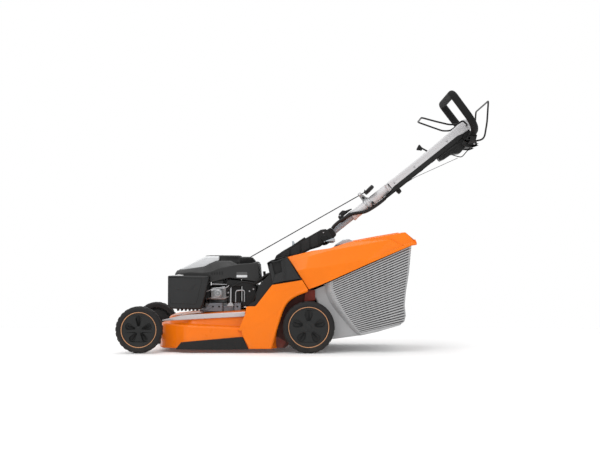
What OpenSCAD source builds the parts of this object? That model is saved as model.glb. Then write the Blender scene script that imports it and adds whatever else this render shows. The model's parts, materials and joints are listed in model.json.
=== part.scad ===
// Walk-behind petrol lawn mower with a rear grass box.
// Frame: +X towards the operator, +Y to the mower's right side, +Z up.
// The origin is on the ground, under the middle of the bounding box.

/* [Wheels] */
// Diameter of the front tyres
front_wheel_d = 180; // [176:1:184]
// Diameter of the rear tyres
rear_wheel_d = 200; // [196:1:204]
// Width of each tyre
tyre_w = 46; // [42:1:48]
// Overall width over the wheels
track_out = 530; // [526:1:536]
// Distance between the front and rear axles
wheelbase = 652; // [648:1:656]

/* [Deck and blade] */
// Height of the deck's lower rim above the ground
rim_z = 16; // [12:1:22]
// Half width of the deck's lower skirt
skirt_half_w = 240; // [238:1:241]
// Thickness of the pressed steel
steel_t = 2.5; // [2:0.5:3]
// Length of the blade, tip to tip
blade_l = 430; // [410:2:432]

/* [Handle] */
// Rise of the handle above the horizontal, in degrees
handle_angle = 38.5; // [36:0.5:40]
// Width of the grip loop over its bar's centres
loop_w = 290; // [250:10:300]
// Diameter of the grip loop's bar
loop_d = 25; // [22:1:28]
// Diameter of the bails' wire
bail_d = 6; // [5:0.5:8]

/* [Grass box] */
// Half width of the box behind the wheels
box_half_w = 228; // [220:1:230]
// Half width of the lid
lid_half_w = 238; // [234:1:240]
// Wall of the box and its lid
box_t = 3; // [2.5:0.5:4]

/* [Hidden] */
$fn = 48;
fit_r = 0.05;
run_r = 0.1;

// Axles
rear_x = 11;
front_x = rear_x - wheelbase;
front_z = front_wheel_d / 2;
rear_z = rear_wheel_d / 2;
wheel_out = track_out / 2;
wheel_in = wheel_out - tyre_w;
stub_r = 8;
stub_out = wheel_out - 14;

// Cutting height swing: each axle hangs on arms that turn about a cross tube
arm_dx = 56;
arm_dz = 20;
front_pivot = [front_x + arm_dx, front_z - arm_dz];
rear_pivot = [rear_x - arm_dx, rear_z - arm_dz];
cross_r = 9;
arm_in = 207;
arm_out = 212;

// Engine
crank_x = -335;
crank_r = 12.5;
seat_z = 158;
cap_at = [-237, -70];

// Drive
pulley_z = 118;
gearbox_y = 150;

// Deck
side_plate_y = 205;
shoulder_z = 104;
skirt_plan = [[-575, -150], [-552, -196], [-505, -side_plate_y], [-462, -skirt_half_w],
    [-150, -skirt_half_w], [-112, -side_plate_y], [-112, side_plate_y], [-150, skirt_half_w],
    [-462, skirt_half_w], [-505, side_plate_y], [-552, 196], [-575, 150]];
upper_plan = [[-560, -150], [-540, -186], [-500, -208], [-150, -208], [-112, -180],
    [-112, 180], [-150, 208], [-500, 208], [-540, 186], [-560, 150]];
top_profile = [[-600, 90], [-60, 90], [-60, 168], [-545, 140], [-600, 108]];
rear_plate = [[-112, rim_z], [-80, rim_z], [-24, 60], [-22, 98], [-40, 130], [0, 165], [28, 200],
    [22, 236], [-2, 262], [-116, 262], [-130, 240], [-130, 150], [-112, 104]];
tunnel_y = [-190, 40];
tunnel = [[-112, 32], [-104, 32], [34, 178], [30, 200], [10, 232], [-66, 340], [-72, 340], [-153, 166],
    [-112, 166]];
tunnel_mouth = [[-150, 50], [-116, 50], [-106, 34], [-100, 40], [-100, 145], [-150, 145]];

// Covers
cover_y = 250;
cover_plan = [[-216, rim_z], [-134, rim_z], [-120, 69], [-98, 140], [-88, 170], [-72, 197], [-52, 215],
    [-23, 230], [10, 242], [-14, 281], [-130, 262], [-194, 180], [-229, 179], [-231, 156],
    [-253, 106], [-242, 64]];
lever_pivot = [-160, 150];
lever_pin_r = 5;
bumper_plan = [[-501, rim_z - 1], [-220, rim_z - 1], [-243, 63], [-480, 42]];
bracket_plan = [[-128, 263], [-20, 283], [-72, 368], [-78, 373], [-134, 357], [-149, 348], [-137, 311]];

// Handle
pivot = [76, 446];
slot_half = 32;
ear_half = 58;
bolt_r = 6;
tube_r = 14;
mid_r = 19;
clamp_at = [110, 34];
bar_half_w = 28;
bar_half_h = 16.5;
loop_top = [582, 1024];
stop_pivot = [657, 832];
drive_pivot = pivot + 742 * [cos(handle_angle), sin(handle_angle)];
rope_r = 2;
rope_start = [-250, 357.5];
rope_end = [240, 635.4];
rope_angle = atan2(rope_end[1] - rope_start[1], rope_end[0] - rope_start[0]);

// Grass box
seam = [[10, 244], [82, 272], [255, 349], [407, 414]];
narrow_half = 203;
box_front = [[20, 240], [45, 200], [85, 52]];
narrow_plan = concat(box_front, [[107, 50], [217, 67], [255, 349], [82, 272]]);
wide_plan = [[76, 268], [190, 72], [217, 67], [279, 83], [356, 105], [381, 119], [389, 139], [385, 197],
    [398, 278], [406, 413], [255, 349], [82, 272]];
lid_plan = concat(seam, [[430, 420], [422, 435], [379, 461], [363, 464], [277, 447], [182, 429], [93, 405],
    [23, 393], [-70, 369]]);
flap_hinge = [-44, 354];
flap_slope = 13.6;
flap_l = 165;
flap_half = 165;
flap_lug = [[-90, 361], [-76, 367], [-38, 361], [-36, 348], [-50, 344]];

// ---- Helpers ----

// A polygon of the XZ plane, drawn out along Y
module yprism(points, y0, y1) {
    translate([0, y1, 0]) rotate([90, 0, 0]) linear_extrude(y1 - y0) polygon(points);
}

module ycyl(x, z, r, y0, y1) {
    translate([x, y1, z]) rotate([90, 0, 0]) cylinder(r = r, h = y1 - y0);
}

// A round bar from one point to another
module rod(from, to, r) {
    d = to - from;
    translate(from) rotate([0, acos(d[2] / norm(d)), atan2(d[1], d[0])]) cylinder(r = r, h = norm(d));
}

// Rounds off the corners of a path, starting each bend at the given reach from the corner
function rounded(path, reach, steps = 3) = concat([path[0]],
    [for (i = [1:len(path) - 2]) let (
        a = path[i] + unit(path[i - 1] - path[i]) * min(reach, norm(path[i - 1] - path[i]) * 0.49),
        c = path[i] + unit(path[i + 1] - path[i]) * min(reach, norm(path[i + 1] - path[i]) * 0.49))
        for (k = [0:steps]) let (t = k / steps)
            a * (1 - t) * (1 - t) + path[i] * 2 * t * (1 - t) + c * t * t],
    [path[len(path) - 1]]);

// One ring of a swept wire, slid along its segment onto the next mitre plane
function first_ring(path, r, sides) = let (
    d = unit(path[1] - path[0]),
    u = unit(cross(d, abs(d[2]) < 0.9 ? [0, 0, 1] : [1, 0, 0])),
    v = cross(d, u))
    [for (k = [0:sides - 1]) path[0] + r * (u * cos(k * 360 / sides) + v * sin(k * 360 / sides))];

function next_ring(ring, path, i) = let (
    d = unit(path[i] - path[i - 1]),
    n = i < len(path) - 1 ? unit(d + unit(path[i + 1] - path[i])) : d)
    [for (p = ring) p + d * ((n * (path[i] - p)) / (n * d))];

// A bent wire through a list of points
module wire(points, r, reach = 12, sides = 8) {
    path = rounded(points, reach);
    n = len(path);
    rings = [for (i = 0, ring = first_ring(path, r, sides); i < n;
        i = i + 1, ring = i < n ? next_ring(ring, path, i) : ring) ring];
    polyhedron(
        points = [for (ring = rings) for (p = ring) p],
        faces = concat([[for (k = [0:sides - 1]) k]],
            [for (i = [0:n - 2]) for (k = [0:sides - 1]) let (m = (k + 1) % sides)
                [i * sides + k, (i + 1) * sides + k, (i + 1) * sides + m, i * sides + m]],
            [[for (k = [sides - 1:-1:0]) (n - 1) * sides + k]]));
}

module both_sides() {
    children();
    mirror([0, 1, 0]) children();
}

module on_side(side) {
    if (side < 0) children();
    else mirror([0, 1, 0]) children();
}

function unit(v) = v / norm(v);

// A closed outline, drawn anticlockwise, moved inwards by t
function inset(p, t) = [for (i = [0:len(p) - 1]) let (
    a = p[(i + len(p) - 1) % len(p)],
    c = p[(i + 1) % len(p)],
    u = unit(p[i] - a),
    v = unit(c - p[i]),
    m = [-u[1] - v[1], u[0] + v[0]])
    p[i] + t * m / (1 + u * v)];

// Places the handle's own frame: X along the bar, Z square to it
module along_handle() {
    translate([pivot[0], 0, pivot[1]]) rotate([0, -handle_angle, 0]) children();
}

module xcyl(x0, x1, r, y = 0, z = 0) {
    translate([x0, y, z]) rotate([0, 90, 0]) cylinder(r = r, h = x1 - x0);
}

// ---- Deck ----

module deck_skirt() {
    translate([0, 0, rim_z]) difference() {
        linear_extrude(shoulder_z - rim_z) polygon(skirt_plan);
        translate([0, 0, -1]) linear_extrude(shoulder_z - rim_z - steel_t + 1)
            polygon(inset(skirt_plan, steel_t));
        linear_extrude(shoulder_z) polygon(inset(upper_plan, steel_t));
    }
}

module deck_top() {
    difference() {
        intersection() {
            linear_extrude(200) polygon(upper_plan);
            yprism(top_profile, -230, 230);
        }
        intersection() {
            translate([0, 0, 80]) linear_extrude(120) polygon(inset(upper_plan, steel_t));
            translate([0, 0, -steel_t]) yprism(top_profile, -230, 230);
        }
        translate([-600, -230, 80]) cube([600, 460, shoulder_z - 80 - steel_t]);
    }
    translate([crank_x, 0, seat_z - 12]) cylinder(r = 98, h = 12);
}

module deck_rear() {
    both_sides() difference() {
        yprism(rear_plate, -side_plate_y, -side_plate_y + steel_t);
        ycyl(rear_pivot[0], rear_pivot[1], cross_r + fit_r, -210, -200);
    }
}

// Welded duct that carries the cuttings up and back into the grass box
module discharge_chute() {
    color("firebrick") {
        for (y = [tunnel_y[0], tunnel_y[1] - steel_t]) yprism(tunnel, y, y + steel_t);
        yprism([[-110, 32], [-104, 32], [34, 178], [32, 181]], tunnel_y[0], tunnel_y[1]);
        yprism([[-148.5, 166], [-143.5, 166], [-66, 337], [-70, 340]], tunnel_y[0], tunnel_y[1]);
    }
}

module front_pivot_ears() {
    both_sides() difference() {
        yprism([[-570, 40], [-570, 100], [-585, 90], [-600, 78], [-600, 60], [-585, 46]], -150, -142);
        ycyl(front_pivot[0], front_pivot[1], cross_r + fit_r, -160, -130);
    }
}

module deck() {
    color("orangered") {
        difference() {
            union() {
                deck_skirt();
                deck_top();
            }
            yprism(tunnel_mouth, tunnel_y[0] + steel_t, tunnel_y[1] - steel_t);
            translate([crank_x, 0, 100]) cylinder(r = 30, h = 80);
            translate([-130, 54, 112]) cube([40, 86, 26]);
        }
        deck_rear();
        front_pivot_ears();
    }
}

// A thin strip on each shoulder of the deck, rising to the rear
module deck_trim_strips() {
    strip = [[-500, 121], [-236, 139], [-236, 157.5], [-500, 139]];
    color("silver") both_sides() yprism(strip, -212, -208.2);
}

// The right cover also holds the height lever's pin
module side_covers() {
    color("darkorange") difference() {
        both_sides() difference() {
            yprism(cover_plan, -cover_y, -cover_y + 9.5);
            yprism(inset(cover_plan, 3), -cover_y + 3, -cover_y + 12);
        }
        ycyl(lever_pivot[0], lever_pivot[1], lever_pin_r + fit_r, cover_y - 4, cover_y + 1);
    }
}

module side_bumpers() {
    color("dimgray") both_sides() yprism(bumper_plan, -skirt_half_w - 6, -skirt_half_w - 0.2);
}

module hinge_brackets() {
    color("dimgray") both_sides() difference() {
        yprism(bracket_plan, -248, -200.5);
        yprism(inset(bracket_plan, 4), -244, -190);
    }
}

// Hood between the brackets, and the arm that carries the handle's pivot
module handle_console() {
    hood = [[-196, 166], [-192, 166], [-179, 256], [-157, 281], [-137, 304], [-146, 341], [-132, 349],
        [-76, 362], [-76, 368], [-134, 353], [-151, 346], [-141, 305], [-160, 284], [-183, 258]];
    arm = [[-130, 353.5], [-76, 367], [-30, 374], [20, 402], [62, 414], [76, 426], [104, 434], [108, 452],
        [94, 479], [78, 486], [62, 482], [0, 447], [-54, 416], [-89, 397], [-118, 378]];
    color("dimgray") {
        yprism(hood, -200, 200);
        both_sides() difference() {
            yprism(flap_lug, -flap_half - 7, -flap_half - 1);
            ycyl(flap_hinge[0], flap_hinge[1], 5 + fit_r, -flap_half - 10, -flap_half);
        }
        difference() {
            yprism(arm, -ear_half, ear_half);
            ycyl(pivot[0], pivot[1], 58, -slot_half, slot_half);
            yprism([[-112, 392], [-20, 397], [10, 424], [50, 400], [140, 400], [140, 500], [-112, 500]],
                -slot_half, slot_half);
            ycyl(pivot[0], pivot[1], bolt_r + fit_r, -70, 70);
        }
    }
}

// ---- Engine ----

module engine_block() {
    color("silver") difference() {
        union() {
            translate([crank_x, 0, seat_z]) cylinder(r = 96, h = 8);
            translate([-403, -98, seat_z + 2]) cube([128, 190, 30]);
            translate([crank_x, 0, seat_z]) cylinder(r = 74, h = 98);
            translate([-470, -42, 192]) cube([100, 84, 62]);
            for (i = [0:7]) translate([-470 + i * 9, -56, 186]) cube([4, 112, 76]);
            translate([-492, -50, 190]) cube([24, 100, 70]);
            translate([-370, -97.8, 206]) cube([50, 50, 42]);
        }
        translate([crank_x, 0, 100]) cylinder(r = crank_r + fit_r, h = 200);
    }
}

// Blower housing over the flywheel, open below
module engine_shroud() {
    outer = [[-378, 268], [-190, 262], [-182, 290], [-186, 337], [-196, 352], [-208, 341], [-268, 341],
        [-284, 356], [-330, 356], [-385, 344], [-403, 333], [-511, 318], [-518, 299], [-378, 295]];
    inner = [[-374, 240], [-195, 240], [-187, 290], [-191, 333], [-196, 344], [-206, 337], [-270, 337],
        [-286, 351], [-330, 351], [-383, 340], [-401, 329], [-506, 313], [-512, 303], [-374, 299]];
    color("dimgray") difference() {
        yprism(outer, -150, 150);
        yprism(inner, -146, 146);
        translate([crank_x, 0, 340]) cylinder(r = 70, h = 40);
        translate([crank_x, 0, 255]) cylinder(r = 76, h = 60);
        translate([cap_at[0], cap_at[1], 330]) cylinder(r = 21, h = 40);
    }
}

module engine_top_cover() {
    color("whitesmoke") difference() {
        yprism([[-505, 319.2], [-403, 333.3], [-385, 344.3], [-346, 353], [-346, 373], [-403, 373]], -104, 104);
        translate([crank_x, 0, 300]) cylinder(r = 80, h = 90);
    }
}

module recoil_housing() {
    color("dimgray") difference() {
        union() {
            translate([crank_x, 0, 356.2]) cylinder(r = 78, h = 22);
            translate([-262, -12, 356.2]) cube([16, 24, 14]);
        }
        translate([crank_x, 0, 355]) cylinder(r = 74, h = 19);
    }
}

module muffler_guard() {
    outer = [[-544, 184], [-538, 179], [-412, 178], [-382, 292], [-544, 295]];
    color("dimgray") {
        difference() {
            yprism(outer, -186, -62);
            yprism(inset(outer, 3), -183, -50);
        }
        translate([-450, -63, 284]) cube([20, 6.8, 9]);
    }
}

module muffler() {
    color("gray") difference() {
        union() {
            translate([-512, -160, 205]) cube([92, 88, 62]);
            translate([-470, -74, 232]) rotate([-90, 0, 0]) cylinder(r = 11, h = 17.8);
        }
        translate([-510, -158, 207]) cube([88, 84, 58]);
        translate([-470, -80, 232]) rotate([-90, 0, 0]) cylinder(r = 8, h = 30);
    }
}

module carburettor() {
    color("silver") {
        translate([-376, -138, 202]) cube([62, 40, 50]);
        translate([-345, -168, 228]) rotate([-90, 0, 0]) cylinder(r = 19, h = 40);
        translate([-300, -132, 186]) cube([12, 4, 66]);
        translate([-314, -132, 244]) cube([20, 4, 8]);
    }
}

module air_filter_box() {
    color("dimgray") translate([-520, 56.3, 196]) difference() {
        cube([120, 113, 92]);
        translate([3, 3, -1]) cube([114, 107, 90]);
    }
}

module fuel_tank() {
    tank = [[-250, 174], [-206, 174], [-197, 190], [-192, 256], [-250, 256]];
    color("dimgray") {
        yprism(tank, -140, 140);
        translate([cap_at[0], cap_at[1], 255]) difference() {
            cylinder(r = 20, h = 103);
            translate([0, 0, 20]) cylinder(r = 16, h = 90);
        }
    }
}

module fuel_cap() {
    color("black") translate([cap_at[0], cap_at[1], 0]) difference() {
        translate([0, 0, 342]) cylinder(r = 28.5, h = 30);
        translate([0, 0, 330]) cylinder(r = 20 + run_r, h = 28.5);
    }
}

// Bolts that hold the engine to its seat
module engine_bolts() {
    color("silver") for (a = [35, 155, 205, 325])
        translate([crank_x + 86 * cos(a), 86 * sin(a), seat_z + 8.1])
            cylinder(r = 7, h = 6, $fn = 6);
}

module spark_plug() {
    color("ivory") {
        xcyl(-500, -492.1, 9, 0, 225);
        xcyl(-530, -500, 11, 0, 225);
    }
}

module drive_belt() {
    r_crank = 27;
    r_box = 39;
    length = norm([rear_x - crank_x, gearbox_y]);
    turn = atan2(gearbox_y, rear_x - crank_x);
    lean = asin((r_box - r_crank) / length);
    color("black") translate([crank_x, 0, pulley_z + 4]) rotate([0, 0, turn]) difference() {
        linear_extrude(8) polygon(belt_outline(r_crank + 0.5, r_box + 0.5, length, lean));
        translate([0, 0, -1]) linear_extrude(10) polygon(belt_outline(r_crank - 4, r_box - 4, length, lean));
    }
}

function belt_outline(ra, rb, length, lean) = concat(
    [for (a = [90 + lean:10:270 - lean]) [ra * cos(a), ra * sin(a)]],
    [for (a = [-90 - lean:10:90 + lean]) [length + rb * cos(a), rb * sin(a)]]);

module starter_rope() {
    color("black") rod([rope_start[0] + 5, 0, rope_start[1] + 5 * tan(rope_angle)],
        [rope_end[0], 0, rope_end[1]], rope_r);
}

// Outer cables from the engine to the console
module control_cables() {
    color("black") {
        both_sides()
            wire([[-300, -156, 250], [-250, -157, 275], [-200, -157, 266], [-184, -156, 268]], 2.5);
    }
}

// ---- Rotor ----

module crankshaft() {
    color("silver") difference() {
        translate([crank_x, 0, 42]) cylinder(r = crank_r, h = 290);
        translate([crank_x, 0, 30]) cylinder(r = 5 + fit_r, h = 40);
    }
}

module flywheel() {
    color("gray") difference() {
        union() {
            translate([crank_x, 0, 272]) cylinder(r = 72, h = 22);
            for (i = [0:17]) translate([crank_x, 0, 294]) rotate([0, 0, i * 20])
                translate([42, -1.5, -0.5]) cube([28, 3, 18]);
        }
        translate([crank_x, 0, 260]) cylinder(r = crank_r, h = 60);
    }
}

module blade() {
    half = blade_l / 2;
    color("slategray") translate([crank_x, 0, 0]) difference() {
        union() {
            translate([0, 0, 38]) cylinder(r = 30, h = 4);
            translate([0, 0, 34]) linear_extrude(4)
                polygon([[-half, -26], [-half + 90, -32], [half - 90, -26], [half, -26], [half, 26],
                    [half - 90, 32], [-half + 90, 26], [-half, 26]]);
        }
        translate([0, 0, 30]) cylinder(r = 5 + fit_r, h = 20);
    }
}

module blade_bolt() {
    color("silver") translate([crank_x, 0, 0]) {
        translate([0, 0, 26]) cylinder(r = 9, h = 8, $fn = 6);
        translate([0, 0, 34]) cylinder(r = 5, h = 30);
    }
}

module pulley(x, y, r, bore) {
    translate([x, y, pulley_z]) difference() {
        rotate_extrude()
            polygon([[bore, 0], [r, 0], [r, 1], [r - 7, 6], [r - 7, 10], [r, 15], [r, 16], [bore, 16]]);
    }
}

module crank_pulley() {
    color("gray") pulley(crank_x, 0, 27, crank_r);
}

// ---- Running gear ----

// Cross tube with an arm at each end that carries the wheels
module carrier(tube, axle_z, axle_x, stub) {
    both_sides() {
        difference() {
            yprism([[tube[0] - 14, tube[1] - 14], [tube[0] + 14, tube[1] - 14], [axle_x + 4, axle_z - 14],
                [axle_x + 14, axle_z], [axle_x, axle_z + 14], [tube[0] - 8, tube[1] + 15]],
                -arm_out, -arm_in);
            if (!stub) ycyl(axle_x, axle_z, stub_r + run_r, -220, -200);
        }
        if (stub) ycyl(axle_x, axle_z, stub_r, -stub_out, -arm_in);
    }
    ycyl(tube[0], tube[1], cross_r, -arm_in, arm_in);
}

module front_axle_carrier() {
    color("gray") mirror_x(front_pivot[0]) carrier(front_pivot, front_z, front_pivot[0] + arm_dx, true);
}

module mirror_x(x) {
    translate([x, 0, 0]) mirror([1, 0, 0]) translate([-x, 0, 0]) children();
}

module rear_axle_carrier() {
    color("gray") carrier(rear_pivot, rear_z, rear_x, false);
}

module rear_drive_shaft() {
    color("silver") ycyl(rear_x, rear_z, stub_r, -stub_out, stub_out);
}

// Tyre ring with a lug pattern on its tread
module tyre(x, z, d, side) {
    lugs = 24;
    color("black") on_side(side) translate([x, -wheel_in, z]) rotate([90, 0, 0]) {
        difference() {
            rotate_extrude() polygon([[d / 2 - 24, 3], [d / 2 - 8, 0], [d / 2 - 3, 4], [d / 2 - 3, tyre_w - 4],
                [d / 2 - 8, tyre_w], [d / 2 - 14, tyre_w], [d / 2 - 18, tyre_w - 3], [d / 2 - 24, tyre_w - 3]]);
        }
        for (i = [0:lugs - 1]) rotate([0, 0, i * 360 / lugs]) intersection() {
            translate([d / 2 - 5, -d * 0.032, 6]) cube([6, d * 0.064, tyre_w - 12]);
            cylinder(r = d / 2, h = tyre_w);
        }
    }
}

// Dished rim with five pockets in its face
module rim(x, z, d, side, pocket_in, pocket_out, pocket_w) {
    seat_r = d / 2 - 24;
    color("dimgray") on_side(side) translate([x, -wheel_in, z]) rotate([90, 0, 0]) difference() {
        union() {
            difference() {
                cylinder(r = seat_r - 0.05, h = tyre_w - 3);
                translate([0, 0, -1]) cylinder(r = seat_r - 5, h = tyre_w - 13);
            }
            translate([0, 0, 0]) cylinder(r = 17, h = tyre_w - 4);
        }
        translate([0, 0, -2]) cylinder(r = stub_r + run_r, h = tyre_w - 10);
        for (i = [0:4]) rotate([0, 0, 90 + i * 72]) translate([0, 0, tyre_w - 9]) linear_extrude(8)
            polygon([[pocket_in, -pocket_w * 0.28], [pocket_out, -pocket_w / 2], [pocket_out + 4, 0],
                [pocket_out, pocket_w / 2], [pocket_in, pocket_w * 0.28]]);
    }
}

module front_rim(side) rim(front_x, front_z, front_wheel_d, side, 18, 50, 24);
module rear_rim(side) rim(rear_x, rear_z, rear_wheel_d, side, 26, 59, 31);

module gearbox() {
    color("gray") difference() {
        union() {
            translate([rear_x - 34, gearbox_y - 40, rear_z - 26]) cube([68, 80, 40]);
            translate([rear_x, gearbox_y, rear_z]) cylinder(r = 18, h = 17);
            ycyl(rear_x, rear_z, 16, gearbox_y - 56, gearbox_y + 56);
        }
        ycyl(rear_x, rear_z, stub_r + run_r, gearbox_y - 70, gearbox_y + 70);
        translate([rear_x, gearbox_y, rear_z + 9]) cylinder(r = 6 + run_r, h = 20);
    }
}

module gearbox_pulley() {
    color("gray") {
        pulley(rear_x, gearbox_y, 39, 5.9);
        translate([rear_x, gearbox_y, rear_z + 9.2]) cylinder(r = 6, h = pulley_z + 16 - rear_z - 9.2);
    }
}

// Cutting height lever on the right side cover
module height_lever() {
    color("dimgray") {
        ycyl(lever_pivot[0], lever_pivot[1], lever_pin_r, cover_y - 3, cover_y + 1);
        ycyl(lever_pivot[0], lever_pivot[1], 12, cover_y + 0.5, cover_y + 10);
        rod([lever_pivot[0], cover_y + 6, lever_pivot[1]], [-172, cover_y + 6, 268], 4);
        rod([-172, cover_y + 7, 262], [-178, cover_y + 7, 312], 6);
    }
}

// ---- Handle ----

module tube_socket() {
    color("dimgray") along_handle() difference() {
        union() {
            translate([-20, -30, -20]) cube([70, 60, 40]);
            rotate([90, 0, 0]) translate([0, 0, -30]) cylinder(r = 28, h = 60);
        }
        xcyl(12, 60, tube_r + 0.02);
        rotate([90, 0, 0]) translate([0, 0, -40]) cylinder(r = bolt_r + fit_r, h = 80);
    }
}

module pivot_bolt() {
    color("silver") {
        ycyl(pivot[0], pivot[1], bolt_r, -ear_half, ear_half);
        both_sides() ycyl(pivot[0], pivot[1], 11, -ear_half - 6, -ear_half - 0.2);
    }
}

module lower_tube() {
    color("silver") along_handle() {
        difference() {
            xcyl(12.2, 230, tube_r);
            xcyl(14, 240, tube_r - 2);
        }
        both_sides() difference() {
            translate([clamp_at[0] - 9, -18, 6]) cube([18, 3.4, clamp_at[1] + 3]);
            ycyl(clamp_at[0], clamp_at[1], 3 + fit_r, -20, -10);
            xcyl(90, 130, tube_r - 1);
        }
        both_sides() translate([clamp_at[0] - 9, -18, 4]) cube([18, 9, 6]);
    }
}

module mid_tube() {
    color("silver") along_handle() difference() {
        xcyl(150, 372, mid_r);
        xcyl(149, 373, tube_r + 0.05);
    }
}

// Flat extruded bar, rounded at its upper end
module upper_bar() {
    color("gainsboro") along_handle() difference() {
        union() {
            translate([338, -bar_half_w, -bar_half_h]) cube([402, 2 * bar_half_w, 2 * bar_half_h]);
            translate([740, bar_half_w, 0]) rotate([90, 0, 0]) cylinder(r = bar_half_h, h = 2 * bar_half_w);
        }
        xcyl(337, 372.2, mid_r + 0.05);
        translate([372.2, -bar_half_w + 3, -bar_half_h + 3])
            cube([358, 2 * bar_half_w - 6, 2 * bar_half_h - 6]);
        translate([548, -6, bar_half_h - 4]) cube([26, 12, 10]);
        rotate([90, 0, 0]) translate([742, 0, -40]) cylinder(r = bail_d / 2 + run_r, h = 80);
    }
}

module cable_channel() {
    color("black") along_handle() difference() {
        translate([290, -22, -31]) cube([410, 44, 14.3]);
        translate([289, -19, -32]) cube([412, 38, 10]);
        xcyl(280, 373, mid_r + 0.3);
    }
    color("black") along_handle() translate([352, -10, -49]) cube([20, 20, 17.8]);
}

module cable_sleeve() {
    color("black") along_handle()
        wire([[53, -21, 12], [67, -23, 16], [96, -26, 17], [130, -26, 13], [154, -26, 8], [173, -26, -3],
            [196, -24, -18], [228, -22, -24], [270, -8, -27], [288, -6, -27]], 6, 16, 12);
}

module grip_loop() {
    half = loop_w / 2;
    side = [[650, -28, 881], [650, -42, 881], [676, -66, 885], [670, -112, 895], [650, -half + 6, 924],
        [loop_top[0], -half, loop_top[1]]];
    other = [for (i = [len(side) - 1:-1:0]) [side[i][0], -side[i][1], side[i][2]]];
    color("black") wire(concat(side, other), loop_d / 2, 26, 12);
}

// Plate assembly under the bar's end that carries both bails
module bail_bracket() {
    plate = [[633, 828], [650, 817], [680, 815], [699, 822], [691, 849], [697, 868], [686, 868], [663, 858],
        [641, 842]];
    block = [[544, 773], [552, 764], [572, 774], [598, 792], [632, 796], [652, 818], [640, 840],
        [612, 826]];
    color("black") difference() {
        union() {
            yprism(plate, -60, 60);
            yprism(block, -30, 30);
            along_handle() translate([700.2, -28, -58]) cube([44, 56, 41.4]);
        }
        ycyl(stop_pivot[0], stop_pivot[1], bail_d / 2 + run_r, -70, 70);
    }
}

module rope_guide() {
    color("silver") along_handle() {
        difference() {
            union() {
                xcyl(218, 246, 23.5);
                translate([220, -3, 20]) cube([18, 6, 26]);
                translate([222, 0, 50]) rotate([0, 90, 0]) cylinder(r = 8, h = 14);
            }
            xcyl(210, 256, mid_r + 0.05);
            translate([215, 0, 50]) rotate([0, 90, 0]) cylinder(r = 5, h = 40);
        }
    }
}

module clamp_lever() {
    lever = [[101, 26], [108, 23], [160, 27], [166, 30], [128, 44], [104, 44]];
    color("black") along_handle() {
        yprism(lever, -14, 14);
        ycyl(clamp_at[0], clamp_at[1], 3, -18, 18);
    }
}

// Rear bail: held against the grip, it lets the engine run
module stop_bail() {
    w = loop_w / 2;
    near = [[stop_pivot[0], -66, stop_pivot[1]], [stop_pivot[0], -90, stop_pivot[1]], [701, -w + 4, 837],
        [711, -w, 849], [718, -w, 907], [728, -w, 991]];
    far = [for (i = [len(near) - 1:-1:0]) [near[i][0], -near[i][1], near[i][2]]];
    color("black") {
        wire(concat(near, far), bail_d / 2);
        ycyl(stop_pivot[0], stop_pivot[1], bail_d / 2, -66, 66);
    }
}

// Front bail: pulled up to the grip, it engages the wheel drive
module drive_bail() {
    near = [[drive_pivot[0], -34, drive_pivot[1]], [drive_pivot[0], -60, drive_pivot[1]], [632, -92, 921],
        [611, -98, 904], [578, -96, 903], [527, -80, 918], [470, -66, 936]];
    far = [for (i = [len(near) - 1:-1:0]) [near[i][0], -near[i][1], near[i][2]]];
    color("black") {
        wire(concat(near, far), bail_d / 2);
        ycyl(drive_pivot[0], drive_pivot[1], bail_d / 2, -34, 34);
    }
}

module speed_lever() {
    color("black") along_handle() {
        rod([561, 0, 8], [546, 0, 44], 3.5);
        rotate([90, 0, 0]) translate([561, 8, -4.8]) cylinder(r = 5, h = 9.6);
        translate([541, 0, 38]) rotate([0, -24, 0]) cylinder(r1 = 7, r2 = 13, h = 16);
    }
}

module starter_grip() {
    color("black") translate([rope_end[0], 0, rope_end[1]]) rotate([0, -rope_angle, 0]) {
        translate([5, 0, 0]) rotate([0, -15, 0]) translate([-1, -52, -8]) cube([38, 104, 17]);
        xcyl(0.2, 5, 4);
    }
}

// ---- Grass box ----

module grass_box_body() {
    color("darkgray") difference() {
        union() {
            yprism(narrow_plan, -narrow_half, narrow_half);
            yprism(wide_plan, -box_half_w, box_half_w);
        }
        yprism(inset(narrow_plan, box_t), -narrow_half + box_t, narrow_half - box_t);
        yprism(inset(wide_plan, box_t), -box_half_w + box_t, box_half_w - box_t);
        yprism([[100, 240], [200, 80], [240, 80], [240, 330], [84, 262]], -narrow_half + box_t,
            narrow_half - box_t);
        yprism([[0, 262], [30, 202], [60, 190], [200, 240], [408, 400], [408, 430], [255, 356], [82, 278],
            [10, 250]], -narrow_half + box_t, narrow_half - box_t);
    }
}

module flap_recess(grow) {
    translate([flap_hinge[0], 0, flap_hinge[1]]) rotate([0, -flap_slope, 0])
        translate([-60, -176 - grow, -9 - grow]) cube([flap_l + 68 + grow, 352 + 2 * grow, 80]);
}

module grass_box_lid() {
    color("darkorange") difference() {
        yprism(lid_plan, -lid_half_w, lid_half_w);
        difference() {
            yprism(inset(lid_plan, box_t), -lid_half_w + box_t, lid_half_w - box_t);
            flap_recess(box_t);
        }
        yprism([[0, 240], [60, 240], [255, 330], [395, 400], [395, 412], [255, 353.5], [82, 276.5],
            [10, 250]], -lid_half_w + box_t, lid_half_w - box_t);
        yprism([[-90, 380], [-90, 300], [-10, 230], [20, 230], [20, 250], [-62, 367]], -lid_half_w + box_t,
            lid_half_w - box_t);
        flap_recess(0);
    }
}

module level_flap() {
    outer = [[118, 412.5], [182, 429.8], [190, 431.4], [190, 437], [176, 444], [142, 438], [114, 418]];
    inner = [[122, 410], [182, 427], [187, 429], [187, 435], [176, 441], [144, 435.5], [119, 417]];
    color("lightsteelblue") difference() {
        yprism(outer, -60, 60);
        yprism(inner, -57, 57);
    }
}

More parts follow.
